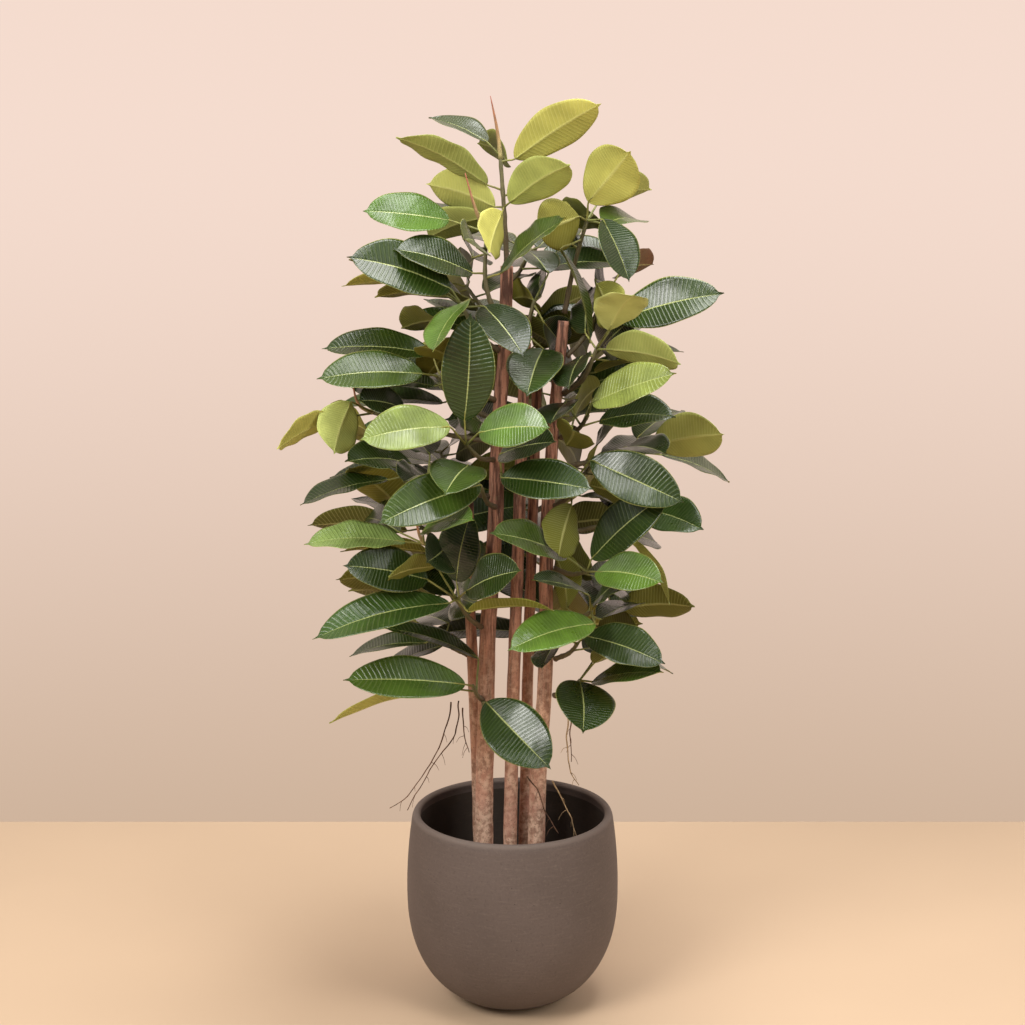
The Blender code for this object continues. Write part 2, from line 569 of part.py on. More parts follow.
def nearest_on_path(path, place):
    best = None
    for a, b in zip(path, path[1:]):
        run = b - a
        t = min(max((place - a).dot(run) / run.length_squared, 0.0), 1.0)
        point = a + run * t
        distance = (point - place).length
        if best is None or distance < best[0]:
            best = (distance, point)
    return best[1]


def attach(path, base, tip):
    """A leaf's stalk root on the twig and its blade's base, with the stalk leading into the blade."""
    base, along = Vector(base), (Vector(tip) - Vector(base)).normalized()
    best = None
    for a, b in zip(path, path[1:]):
        for share in (0.1, 0.3, 0.5, 0.7, 0.9):
            place = a.lerp(b, share)
            stalk = base - place
            cost = stalk.length - 0.03 * stalk.normalized().dot(along)
            if best is None or cost < best[0]:
                best = (cost, place)
    root = best[1]
    lead = (base - root).dot(along)
    return root, base + along * max(STALK_LEAD - lead, 0)


# ---------------------------------------------------------------- settling
TURNS = [(0, 0, 0)]
for degrees in (4, 8, 12, 17, 23, 30, 38):
    size = math.radians(degrees)
    for roll in (0, 0.5, -0.5, 1, -1):
        for yaw, pitch in ((0, 0), (1, 0), (-1, 0), (0, 1), (0, -1),
                           (.7, .7), (-.7, .7), (.7, -.7), (-.7, -.7)):
            if yaw or pitch or roll:
                TURNS.append((yaw * size, pitch * size, roll * size))


class Crowd:
    """What already stands in the air, so that no leaf is laid through another."""

    def __init__(self):
        self.members = []

    def add(self, points, faces):
        low = Vector([min(p[k] for p in points) for k in range(3)])
        high = Vector([max(p[k] for p in points) for k in range(3)])
        self.members.append((low, high, BVHTree.FromPolygons(points, faces)))

    def add_mesh(self, mesh):
        self.add([v.co.copy() for v in mesh.vertices], [tuple(p.vertices) for p in mesh.polygons])

    def touches(self, points, faces):
        low = Vector([min(p[k] for p in points) for k in range(3)])
        high = Vector([max(p[k] for p in points) for k in range(3)])
        tree = None
        for other_low, other_high, other in self.members:
            if all(low[k] < other_high[k] and high[k] > other_low[k] for k in range(3)):
                tree = tree or BVHTree.FromPolygons(points, faces)
                if tree.overlap(other):
                    return True
        return False


def settle(leaf, crowd):
    """Turns the leaf about its root until it is free of its neighbours, by what shifts
    its tip least; shifts towards or away from the front count a third."""
    tip = leaf.middle(1)

    def shift(turn_by):
        moved = leaf.turned(*turn_by).middle(1) - tip
        return math.hypot(moved.x, moved.z) + abs(moved.y) / 3 + 0.03 * abs(turn_by[2])

    for turn_by in sorted(TURNS, key=shift):
        turned = leaf.turned(*turn_by)
        if not crowd.touches(*leaf_faces(turned, LEAF_CLEARANCE, 0.45)):
            crowd.add(*leaf_faces(turned))
            return turned
    return None


# ---------------------------------------------------------------- shoots
def stem_point(name, height):
    path = smooth_path(STEMS[name][0], 4)
    for a, b in zip(path, path[1:]):
        if a.z <= height <= b.z:
            return a.lerp(b, (height - a.z) / (b.z - a.z))
    return path[-1]


def back_shoot(stem, height, heading, reach, count, order):
    """The twig and leaves of one shoot behind the stems."""
    start = stem_point(stem, height)
    out = Vector((math.cos(math.radians(heading)), math.sin(math.radians(heading)), 0))
    tip = start + out * reach + UP * reach * 0.45
    bend = start + out * reach * 0.5 + UP * reach * 0.12
    leaves = []
    for k in range(count):
        share = (k + 1) / count
        node = bend.lerp(tip, share)
        swing = Matrix.Rotation(GOLDEN_ANGLE * (k + order * 0.37), 3, "Z") @ out
        way = (out * 0.45 + swing + UP * (0.45 * share - 0.15)).normalized()
        base = node + way * 0.035
        end = base + way * BACK_BLADE * (0.9 + 0.15 * math.sin(2.1 * k + order))
        tone = ("dark", "deep", "mid", "dark", "olive", "deep")[(k + order) % 6]
        share_shown = (0.75, -0.6, 0.5, 0.85, -0.7, 0.3)[(2 * k + order) % 6]
        leaves.append((*base, *end, share_shown, 0.088, tone))
    return [tuple(start), tuple(bend), tuple(tip)], leaves


def all_shoots():
    shoots = dict(SHOOTS)
    for order, (name, rule) in enumerate(BACK_SHOOTS.items()):
        shoots[name] = back_shoot(*rule, order)
    return shoots


def lay_out(shoots, twigs, stems):
    """The leaves of every shoot, settled clear of stems, twigs and each other."""
    crowd = Crowd()
    for mesh in (*stems.values(), *(mesh for mesh, _ in twigs.values())):
        crowd.add_mesh(mesh)
    thin = [(points, ROOT_RADIUS * 1.5) for points in AIR_ROOTS.values()]
    thin += [(points, BUD_RADIUS) for points in BUDS.values()]
    for points, radius in thin:
        path = smooth_path(points, 2)
        mesh = tube_mesh("guide", path, [radius] * len(path))
        crowd.add_mesh(mesh)
        bpy.data.meshes.remove(mesh)
    settled = {}
    for name, (_, rows) in shoots.items():
        settled[name] = []
        for row in rows:
            tip = row[3:6]
            root, base = attach(twigs[name][1], row[0:3], tip)
            leaf = settle(Leaf(root, base, tip, *row[6:]), crowd)
            if leaf:
                settled[name].append(leaf)
    return settled


def join_leaves(name, leaves):
    points, faces = [], []
    for leaf in leaves:
        leaf_points, triangles = leaf_faces(leaf)
        offset = len(points)
        points.extend(leaf_points)
        faces.extend([tuple(offset + k for k in face) for face in triangles])
    mesh = bpy.data.meshes.new(name)
    mesh.from_pydata(points, [], faces)
    return mesh


def build_shoots(pieces, cutters, stems, stem_cutters):
    shoots = all_shoots()
    twigs = {}
    for name, (points, _) in shoots.items():
        path = smooth_path(points, 2)
        mesh = tube_mesh(name, path, tapered(path, TWIG_FOOT_RADIUS, TWIG_TIP_RADIUS))
        twigs[name] = (mesh, path)
    settled = lay_out(shoots, twigs, stems)
    for name, leaves in settled.items():
        tone = TONES[leaves[0].tone]
        shoot = add_object(name, twigs[name][0], pieces, make_material(name, tone, 0.35))
        for k, leaf in enumerate(leaves):
            blade = add_object(f"{name}_leaf_{k}", join_leaves(f"{name}_leaf_{k}", [leaf]), cutters)
            hide_cutter(blade)
            add_boolean(shoot, blade, "UNION")
        if name in BUDS:
            path = smooth_path(BUDS[name], 2)
            mesh = tube_mesh(name + "_bud", path, tapered(path, BUD_RADIUS, 0.0012))
            bud = add_object(name + "_bud", mesh, cutters)
            hide_cutter(bud)
            add_boolean(shoot, bud, "UNION")
        for cutter in near_stems(shoots[name][0][0], stem_cutters):
            add_boolean(shoot, cutter, "DIFFERENCE")
    return settled


def near_stems(foot, stem_cutters):
    """The stems that a twig starting here would run into."""
    foot = Vector(foot)
    return [cutter for cutter, path, radius in stem_cutters
            if (nearest_on_path(path, foot) - foot).length < radius + 0.01]


# ---------------------------------------------------------------- stems
def build_stems(pieces, cutters, soil, material):
    stems, stem_cutters = {}, []
    for name, (points, foot, top) in STEMS.items():
        path = smooth_path(points, 3)
        radii = tapered(path, foot, top)
        mesh = tube_mesh(name, path, radii, 3)
        add_object(name, mesh, pieces, material)
        stems[name] = mesh
        wide = tube_mesh(name + "_room", path, [radius + GAP for radius in radii], 3)
        stretch_ends(wide, path)
        cutter = add_object(name + "_room", wide, cutters)
        hide_cutter(cutter)
        add_boolean(soil, cutter, "DIFFERENCE")
        stem_cutters.append((cutter, path, foot))
    return stems, stem_cutters


def stretch_ends(mesh, path):
    """Moves the tube's two ends out by the gap, so that it clears the ends as well."""
    for end, inner in ((path[0], path[1]), (path[-1], path[-2])):
        out = (end - inner).normalized()
        for vertex in mesh.vertices:
            if (vertex.co - end).dot(out) > -0.0005:
                vertex.co += out * GAP


def build_air_roots(pieces, material):
    for name, points in AIR_ROOTS.items():
        path = smooth_path(points, 3)
        mesh = tube_mesh(name, path, tapered(path, ROOT_RADIUS * 1.2, ROOT_RADIUS * 0.8))
        add_object(name, mesh, pieces, material)


# ---------------------------------------------------------------- the plant
def main():
    pieces, cutters = start_empty()
    bark = make_material("bark", (0.32, 0.17, 0.11), 0.8)
    build_planter(pieces, make_material("planter_clay", (0.10, 0.085, 0.075), 0.75))
    soil = build_soil(pieces, make_material("soil", (0.045, 0.03, 0.02), 0.95))
    stems, stem_cutters = build_stems(pieces, cutters, soil, bark)
    build_shoots(pieces, cutters, stems, stem_cutters)
    build_air_roots(pieces, make_material("air_root", (0.16, 0.08, 0.04), 0.8))


main()
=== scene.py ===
"""The looks of the potted rubber plant: leaves, wood, planter, soil and the studio.

The stems, shoots and leaves follow the same table and the same settling as the
CAD model, so each fine piece lies where its CAD node does.
"""
import math
import random

import bmesh
import bpy
from mathutils import Matrix, Vector, noise
from mathutils.bvhtree import BVHTree


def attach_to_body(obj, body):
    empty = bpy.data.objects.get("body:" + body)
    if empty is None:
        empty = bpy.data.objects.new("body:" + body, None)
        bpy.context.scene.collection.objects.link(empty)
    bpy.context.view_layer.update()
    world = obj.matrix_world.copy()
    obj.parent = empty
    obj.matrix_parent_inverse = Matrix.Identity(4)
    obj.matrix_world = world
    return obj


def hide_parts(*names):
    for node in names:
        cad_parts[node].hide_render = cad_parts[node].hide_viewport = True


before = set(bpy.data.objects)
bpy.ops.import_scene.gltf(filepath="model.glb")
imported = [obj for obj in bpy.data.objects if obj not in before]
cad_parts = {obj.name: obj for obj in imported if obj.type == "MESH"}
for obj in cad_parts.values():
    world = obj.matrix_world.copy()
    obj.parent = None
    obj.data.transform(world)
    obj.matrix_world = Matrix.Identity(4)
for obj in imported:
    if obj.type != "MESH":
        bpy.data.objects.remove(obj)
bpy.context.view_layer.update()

# ---------------------------------------------------------------- sizes
GAP = 0.0003                  # what touching pieces keep between them

BELLY_RADIUS = 0.2005         # planter, where it is widest
BELLY_HEIGHT = 0.22
PLANTER_HEIGHT = 0.371
MOUTH_RADIUS = 0.188          # outside of the rim
FOOT_RADIUS = 0.078
WALL = 0.014
BOWL_DEPTH = 0.2303           # the bowl's curve would close this far below the belly
BOWL_POWER = 2.4
FLOOR_THICKNESS = 0.02
STATIONS = (0.35, 0.30, BELLY_HEIGHT, 0.165, 0.115, 0.07, 0.035, 0.012)  # where its wall bends

SOIL_TOP = 0.225
SOIL_FOOT = 0.03

LEAF_THICKNESS = 0.0024       # at the midrib
STALK_RADIUS = 0.0022
STALK_LEAD = 0.014            # a stalk runs at least this far along its blade's line
EDGE_LIFT = 0.20              # how far a blade's edges rise, in half widths
BLADE_ARCH = 0.05             # rise of the blade's middle, in blade lengths
LEAF_CLEARANCE = 0.0025       # air kept between two leaves

TWIG_FOOT_RADIUS = 0.0050
TWIG_TIP_RADIUS = 0.0032
BUD_RADIUS = 0.0034
ROOT_RADIUS = 0.0013

FRONT = Vector((0, -1, 0.22)).normalized()   # the side that the plant shows
UP = Vector((0, 0, 1))

# ---------------------------------------------------------------- stems
# name: points from the soil upwards, and the radius at the foot and the top
STEMS = {
    "stem_left": ([(-0.052, -0.020, 0.13), (-0.054, -0.020, 0.32), (-0.050, -0.018, 0.55),
                   (-0.046, -0.015, 0.72), (-0.032, -0.012, 0.92), (-0.026, -0.010, 1.10),
                   (-0.014, -0.005, 1.26), (-0.010, 0.000, 1.40)], 0.0190, 0.0115),
    "stem_back_left": ([(-0.060, 0.030, 0.14), (-0.064, 0.026, 0.34), (-0.071, 0.024, 0.58),
                        (-0.078, 0.028, 0.74), (-0.082, 0.040, 0.98)], 0.0135, 0.0095),
    "stem_centre": ([(-0.004, -0.010, 0.13), (-0.004, -0.010, 0.34), (0.002, -0.004, 0.62),
                     (0.011, 0.000, 0.90), (0.018, 0.004, 1.12), (0.024, 0.006, 1.26)],
                    0.0142, 0.0100),
    "stem_right": ([(0.044, -0.024, 0.13), (0.045, -0.024, 0.32), (0.050, -0.018, 0.48),
                    (0.061, -0.012, 0.64), (0.063, -0.008, 0.90), (0.074, 0.000, 1.10),
                    (0.092, 0.006, 1.30)], 0.0185, 0.0105),
    "stem_back_right": ([(0.022, 0.030, 0.14), (0.024, 0.032, 0.34), (0.028, 0.034, 0.60),
                         (0.036, 0.036, 0.88), (0.046, 0.050, 1.20)], 0.0125, 0.0095),
}

# ---------------------------------------------------------------- shoots
# A shoot has a twig, as points from its stem outwards, and leaves.  A leaf is
# its blade's base and tip, how much of its width it turns to the front (above
# zero its upper face, below zero its underside), its width and its tone.
SHOOTS = {
    "shoot_top": ([(-0.010, 0.000, 1.405), (-0.015, -0.004, 1.50), (-0.022, 0.000, 1.60)], [
        (-.045, .00, 1.62, -.150, .06, 1.66, .45, .085, "dark"),
        (-.045, .00, 1.545, -.202, -.05, 1.635, -.50, .075, "gold"),
        (-.010, .03, 1.585, -.060, .16, 1.61, -.35, .070, "olive"),
        (-.032, .01, 1.505, -.155, .09, 1.54, -.80, .090, "gold"),
        (-.045, .03, 1.49, -.150, .14, 1.460, -.50, .080, "gold"),
        (-.018, -.03, 1.50, -.040, -.15, 1.44, -.65, .080, "gold"),
        (.004, .00, 1.59, .154, -.06, 1.69, -.85, .085, "gold"),
        (-.005, -.02, 1.515, .100, -.13, 1.59, -.85, .086, "gold"),
        (.010, .04, 1.53, .080, .17, 1.56, -.60, .085, "olive"),
    ]),
    "shoot_top_left": ([(-0.018, -0.012, 1.30), (-0.034, -0.045, 1.33), (-0.048, -0.052, 1.38),
                        (-0.046, -0.050, 1.47)], [
        (-.112, -.03, 1.485, -.262, -.06, 1.505, .88, .088, "bright"),
        (-.070, -.06, 1.395, -.205, -.11, 1.445, .70, .090, "dark"),
        (-.020, -.06, 1.395, .092, -.14, 1.50, .42, .085, "mid"),
        (-.070, .00, 1.43, -.075, .12, 1.47, .60, .085, "deep"),
        (-.060, -.09, 1.44, -.080, -.22, 1.47, .50, .080, "dark"),
    ]),
    "shoot_upper_left": ([(-0.026, -0.014, 1.25), (-0.062, -0.050, 1.285),
                          (-0.092, -0.075, 1.345)], [
        (-.108, -.09, 1.368, -.285, -.14, 1.430, .97, .105, "dark"),
        (-.135, -.05, 1.375, -.302, -.06, 1.375, -.30, .070, "gold"),
        (-.120, -.02, 1.350, -.250, .05, 1.340, -.25, .075, "olive"),
        (-.075, -.11, 1.355, -.138, -.24, 1.285, .50, .080, "bright"),
        (-.130, -.03, 1.305, -.205, .10, 1.275, -.50, .080, "olive"),
        (-.050, -.09, 1.340, .020, -.20, 1.270, .88, .088, "deep"),
    ]),
    "shoot_left_shoulder": ([(-0.032, -0.014, 1.16), (-0.080, -0.050, 1.185),
                             (-0.135, -0.080, 1.215)], [
        (-.145, -.05, 1.250, -.338, -.07, 1.265, .65, .090, "dark"),
        (-.158, -.12, 1.225, -.340, -.16, 1.225, .82, .090, "mid"),
        (-.140, -.04, 1.190, -.292, .03, 1.180, .50, .085, "dark"),
        (-.102, -.04, 1.255, -.160, .07, 1.190, -.50, .080, "olive"),
        (-.090, -.10, 1.240, -.160, -.21, 1.290, -.55, .080, "olive"),
    ]),
    "shoot_left_upright": ([(-0.034, -0.018, 1.05), (-0.058, -0.100, 1.07),
                            (-0.082, -0.155, 1.105)], [
        (-.084, -.16, 1.148, -.073, -.185, 1.341, .96, .094, "dark"),
        (-.108, -.20, 1.145, -.262, -.24, 1.130, .90, .088, "young"),
        (-.058, -.20, 1.135, .065, -.26, 1.155, .88, .085, "bright"),
    ]),
    "shoot_far_left": ([(-0.036, -0.006, 1.08), (-0.140, -0.035, 1.105), (-0.255, -0.055, 1.145)], [
        (-.245, -.01, 1.145, -.300, .12, 1.185, .60, .080, "dark"),
        (-.315, -.10, 1.140, -.410, -.19, 1.105, -.45, .075, "gold"),
        (-.290, -.07, 1.190, -.325, -.15, 1.085, -.92, .088, "gold"),
        (-.262, -.04, 1.110, -.345, .02, 1.125, -.60, .085, "olive"),
        (-.240, -.03, 1.090, -.330, .08, 1.080, -.45, .080, "olive"),
        (-.190, -.07, 1.150, -.265, -.18, 1.190, .75, .085, "deep"),
    ]),
    "shoot_left": ([(-0.038, -0.012, 0.98), (-0.110, -0.050, 1.00), (-0.190, -0.055, 1.03)], [
        (-.180, -.08, 1.055, -.290, -.20, 1.085, .60, .085, "dark"),
        (-.150, -.02, 1.060, -.210, .12, 1.080, .65, .088, "deep"),
        (-.225, -.05, 1.020, -.380, -.10, .985, .40, .082, "dark"),
        (-.150, -.09, 1.035, -.190, -.23, 1.055, .55, .085, "deep"),
        (-.130, -.03, .965, -.225, .06, .915, -.50, .080, "olive"),
    ]),
    "shoot_left_front": ([(-0.032, -0.030, 0.965), (-0.046, -0.100, 0.99),
                          (-0.056, -0.150, 1.03)], [
        (-.064, -.18, 1.040, -.255, -.24, .995, .85, .092, "mid"),
        (-.066, -.12, 1.075, -.115, -.28, 1.045, .92, .100, "mid"),
    ]),
    "shoot_left_light": ([(-0.044, -0.022, 0.87), (-0.110, -0.090, 0.885),
                          (-0.160, -0.125, 0.92)], [
        (-.200, -.06, .930, -.275, .09, .925, .65, .085, "dark"),
        (-.190, -.135, .925, -.368, -.165, .930, .55, .082, "young"),
        (-.160, -.16, .947, -.070, -.27, .995, .62, .080, "bright"),
        (-.155, -.05, .890, -.310, -.09, .900, -.25, .080, "olive"),
        (-.130, -.14, .920, -.170, -.26, .965, .50, .085, "deep"),
    ]),
    "shoot_low_left": ([(-0.058, -0.036, 0.74), (-0.080, -0.095, 0.775),
                        (-0.100, -0.150, 0.825)], [
        (-.107, -.11, .845, -.100, -.15, .980, .90, .085, "deep"),
        (-.150, -.15, .860, -.295, -.20, .900, .92, .088, "dark"),
        (-.127, -.20, .895, -.205, -.30, .900, -.40, .070, "olive"),
        (-.110, -.08, .810, -.217, .03, .830, .55, .085, "deep"),
        (-.112, -.18, .825, -.350, -.24, .776, .68, .088, "mid"),
        (-.080, -.19, .850, .015, -.28, .910, .75, .085, "dark"),
        (-.078, -.19, .812, .073, -.26, .835, -.32, .075, "olive"),
    ]),
    "shoot_lowest_left": ([(-0.056, -0.034, 0.60), (-0.064, -0.090, 0.625),
                           (-0.072, -0.125, 0.655)], [
        (-.062, -.07, .690, -.235, -.10, .760, .40, .075, "dark"),
        (-.085, -.16, .668, -.300, -.20, .690, .80, .090, "mid"),
        (-.100, -.10, .640, -.333, -.14, .595, -.30, .080, "gold"),
    ]),
    "shoot_low_back_left": ([(-0.084, 0.022, 0.67), (-0.115, 0.022, 0.685),
                             (-0.145, 0.020, 0.705)], [
        (-.160, .00, .700, -.308, .04, .665, .30, .078, "dark"),
        (-.130, .05, .680, -.257, .12, .600, .35, .080, "deep"),
        (-.150, -.02, .735, -.235, .05, .745, -.40, .080, "olive"),
        (-.120, .06, .720, -.180, .19, .700, .60, .085, "dark"),
    ]),
    "shoot_low_front": ([(-0.048, -0.038, 0.585), (-0.052, -0.070, 0.600),
                         (-0.054, -0.095, 0.614)], [
        (-.048, -.12, .622, .068, -.22, .530, .97, .108, "dark"),
    ]),
    "shoot_centre_front": ([(0.008, -0.018, 1.00), (-0.006, -0.070, 1.02),
                            (-0.020, -0.115, 1.045)], [
        (-.020, -.15, 1.045, .140, -.22, 1.040, .85, .088, "dark"),
        (-.024, -.12, 1.080, .073, -.22, 1.125, .70, .085, "deep"),
    ]),
    "shoot_centre_top": ([(0.024, 0.004, 1.275), (0.032, -0.002, 1.31), (0.040, -0.006, 1.34)], [
        (.055, -.03, 1.255, .025, -.19, 1.200, .95, .100, "dark"),
        (.062, -.02, 1.310, .105, .10, 1.230, .65, .085, "deep"),
        (.065, .00, 1.385, .015, .11, 1.390, .45, .080, "deep"),
        (.055, -.04, 1.345, .000, .10, 1.330, -.60, .082, "olive"),
        (.050, .04, 1.340, .060, .19, 1.380, .60, .085, "dark"),
    ]),
    "shoot_crown_right": ([(0.094, 0.006, 1.315), (0.110, 0.000, 1.40), (0.134, 0.002, 1.485)], [
        (.135, -.01, 1.515, .205, -.09, 1.610, -1.0, .105, "gold"),
        (.158, .05, 1.515, .255, .17, 1.525, -.45, .085, "gold"),
        (.118, -.02, 1.490, .043, -.05, 1.465, -.97, .095, "olive"),
        (.145, .04, 1.490, .090, .17, 1.460, -.60, .085, "olive"),
        (.158, -.03, 1.490, .208, -.06, 1.380, .78, .088, "dark"),
        (.165, .03, 1.470, .235, .16, 1.455, .55, .085, "mid"),
        (.085, -.08, 1.440, .138, -.13, 1.280, .18, .070, "deep"),
        (.090, -.02, 1.450, .070, .12, 1.490, -.50, .080, "olive"),
    ]),
    "shoot_right_shoulder": ([(0.098, 0.010, 1.235), (0.130, 0.020, 1.27), (0.160, 0.020, 1.33)], [
        (.195, .04, 1.385, .262, .17, 1.385, -.40, .080, "red"),
        (.125, .00, 1.390, .175, .11, 1.350, .75, .085, "deep"),
        (.150, -.03, 1.375, .172, -.12, 1.310, -.70, .080, "olive"),
        (.140, .07, 1.340, .170, .20, 1.310, .60, .085, "dark"),
        (.190, .05, 1.310, .300, .15, 1.280, .50, .080, "dark"),
    ]),
    "shoot_right_upper": ([(0.094, -0.006, 1.17), (0.128, -0.045, 1.205),
                           (0.150, -0.062, 1.262)], [
        (.187, -.05, 1.310, .370, -.10, 1.365, .90, .092, "dark"),
        (.168, -.11, 1.315, .205, -.20, 1.415, -.92, .092, "pale"),
        (.135, -.03, 1.285, .160, .06, 1.350, .55, .080, "deep"),
        (.125, -.06, 1.250, .095, -.18, 1.210, .60, .080, "deep"),
        (.166, -.08, 1.262, .292, -.17, 1.250, -.65, .085, "gold"),
    ]),
    "shoot_right_light": ([(0.088, -0.010, 1.09), (0.118, -0.060, 1.115),
                           (0.134, -0.090, 1.145)], [
        (.140, -.12, 1.173, .280, -.20, 1.240, .78, .085, "young"),
        (.145, -.03, 1.165, .252, .02, 1.180, .30, .080, "dark"),
        (.156, -.06, 1.130, .285, -.14, 1.155, .60, .085, "dark"),
        (.112, -.04, 1.180, .065, -.17, 1.145, .60, .082, "deep"),
        (.092, -.07, 1.090, .085, -.20, 1.160, -.60, .080, "olive"),
        (.112, -.01, 1.130, .165, .10, 1.170, -.50, .080, "olive"),
    ]),
    "shoot_far_right": ([(0.086, 0.004, 1.03), (0.160, 0.006, 1.045), (0.245, 0.000, 1.06)], [
        (.255, -.03, 1.080, .375, -.11, 1.115, -.90, .092, "gold"),
        (.275, .03, 1.050, .408, .10, .985, .35, .080, "dark"),
        (.170, .04, 1.030, .265, .15, .965, .55, .085, "deep"),
        (.230, .04, 1.080, .320, .16, 1.110, .55, .085, "dark"),
        (.200, -.03, 1.075, .270, -.16, 1.090, .50, .085, "deep"),
    ]),
    "shoot_right": ([(0.078, -0.022, 0.965), (0.106, -0.080, 1.00), (0.118, -0.105, 1.04)], [
        (.130, -.12, 1.078, .303, -.18, 1.010, .90, .092, "dark"),
        (.140, -.05, 1.010, .240, -.15, .990, -.70, .082, "olive"),
        (.105, -.10, .985, .080, -.19, .910, -.85, .082, "olive"),
    ]),
    "shoot_right_outer": ([(0.084, -0.002, 0.905), (0.150, 0.000, 0.92), (0.212, -0.004, 0.94)], [
        (.228, -.02, .960, .340, -.12, .945, .85, .088, "mid"),
        (.195, .03, .900, .275, .11, .865, .55, .085, "deep"),
        (.215, -.04, .905, .286, -.10, .800, -.20, .070, "gold"),
        (.180, .04, .950, .250, .17, .970, .55, .085, "dark"),
    ]),
    "shoot_right_bright": ([(0.080, -0.020, 0.845), (0.108, -0.075, 0.85),
                            (0.134, -0.115, 0.865)], [
        (.142, -.12, .890, .275, -.18, 1.020, .90, .088, "dark"),
        (.150, -.15, .878, .262, -.25, .885, .72, .082, "bright"),
        (.098, -.13, .905, -.026, -.24, 1.000, .52, .084, "mid"),
        (.140, -.08, .850, .215, .02, .790, .60, .082, "deep"),
    ]),
    "shoot_low_right": ([(0.080, -0.026, 0.735), (0.115, -0.085, 0.765), (0.142, -0.145, 0.80)], [
        (.135, -.12, .815, .212, -.22, .895, .90, .088, "dark"),
        (.136, -.18, .838, .034, -.26, .890, .30, .070, "deep"),
        (.145, -.19, .790, -.008, -.28, .768, .78, .084, "bright"),
        (.100, -.09, .790, .080, .01, .870, -.60, .080, "olive"),
        (.160, -.11, .780, .235, .00, .800, .40, .080, "deep"),
    ]),
    "shoot_lower_right": ([(0.080, -0.022, 0.675), (0.104, -0.070, 0.70), (0.118, -0.110, 0.73)], [
        (.130, -.14, .753, .270, -.20, .720, .80, .086, "dark"),
        (.130, -.06, .705, .190, .06, .670, .60, .082, "deep"),
        (.090, -.12, .745, .050, -.23, .720, .40, .075, "deep"),
    ]),
    "shoot_lowest_right": ([(0.078, -0.026, 0.605), (0.104, -0.058, 0.625),
                            (0.124, -0.075, 0.65)], [
        (.123, -.10, .655, .125, -.23, .600, .95, .110, "dark"),
        (.146, -.10, .650, .265, -.21, .678, .58, .082, "mid"),
        (.148, -.05, .675, .225, -.16, .735, -.50, .075, "olive"),
        (.165, .02, .690, .320, .10, .652, .40, .078, "dark"),
    ]),
}

# ---------------------------------------------------------------- the back
# The shoots behind the stems follow a rule: a twig leaves a stem towards the
# back and ends in a whorl of leaves that turns by the golden angle.
GOLDEN_ANGLE = math.radians(137.5)
BACK_BLADE = 0.19
# name: stem, height on it, heading (degrees from +X towards +Y), reach, leaves
BACK_SHOOTS = {
    "shoot_back_low": ("stem_back_right", 0.66, 65, 0.13, 7),
    "shoot_back_low_left": ("stem_back_left", 0.74, 118, 0.13, 7),
    "shoot_back_low_right": ("stem_right", 0.70, 28, 0.14, 7),
    "shoot_back_middle_left": ("stem_back_left", 0.86, 150, 0.13, 7),
    "shoot_back_middle": ("stem_back_right", 0.84, 88, 0.15, 8),
    "shoot_back_middle_right": ("stem_back_right", 0.94, 42, 0.15, 7),
    "shoot_back_left": ("stem_back_left", 0.96, 112, 0.15, 8),
    "shoot_back": ("stem_back_right", 1.06, 74, 0.16, 8),
    "shoot_back_upper_left": ("stem_left", 1.12, 140, 0.16, 8),
    "shoot_back_upper_right": ("stem_right", 1.16, 58, 0.15, 8),
    "shoot_back_upper": ("stem_back_right", 1.18, 104, 0.15, 8),
    "shoot_back_top_left": ("stem_left", 1.30, 128, 0.12, 8),
    "shoot_back_top": ("stem_left", 1.37, 66, 0.11, 8),
}

# bud sheaths: the shoot that carries one, and its points
BUDS = {
    "shoot_top": [(-0.021, 0.0, 1.59), (-0.027, 0.0, 1.64), (-0.039, 0.0, 1.70)],
    "shoot_top_left": [(-0.047, -0.05, 1.46), (-0.066, -0.06, 1.51), (-0.083, -0.06, 1.57)],
    "shoot_far_left": [(-0.250, -0.055, 1.143), (-0.275, -0.062, 1.16), (-0.286, -0.066, 1.20)],
    "shoot_left_light": [(-0.158, -0.124, 0.918), (-0.166, -0.135, 0.94), (-0.172, -0.14, 0.97)],
}

# air roots, hanging free from under the foliage
AIR_ROOTS = {
    "air_root_left_outer": [(-.114, -.05, .600), (-.118, -.06, .570), (-.132, -.07, .530),
                            (-.160, -.08, .478), (-.195, -.09, .430), (-.226, -.10, .412)],
    "air_root_left_inner": [(-.100, -.03, .596), (-.102, -.04, .556), (-.112, -.05, .528),
                            (-.142, -.06, .490), (-.172, -.07, .440), (-.196, -.08, .400)],
    "air_root_left_short": [(-.092, -.06, .592), (-.088, -.07, .545), (-.080, -.08, .512)],
    "air_root_right_outer": [(.105, -.05, .575), (.100, -.06, .535), (.104, -.07, .490),
                             (.110, -.07, .465), (.122, -.08, .448)],
    "air_root_right_inner": [(.112, -.03, .568), (.108, -.03, .530), (.110, -.04, .480)],
    "air_root_pale": [(.074, -.06, .450), (.090, -.07, .420), (.108, -.08, .385),
                      (.120, -.08, .345)],
    "air_root_brown": [(.026, -.05, .455), (.048, -.05, .425), (.066, -.05, .375),
                       (.086, -.06, .345)],
}


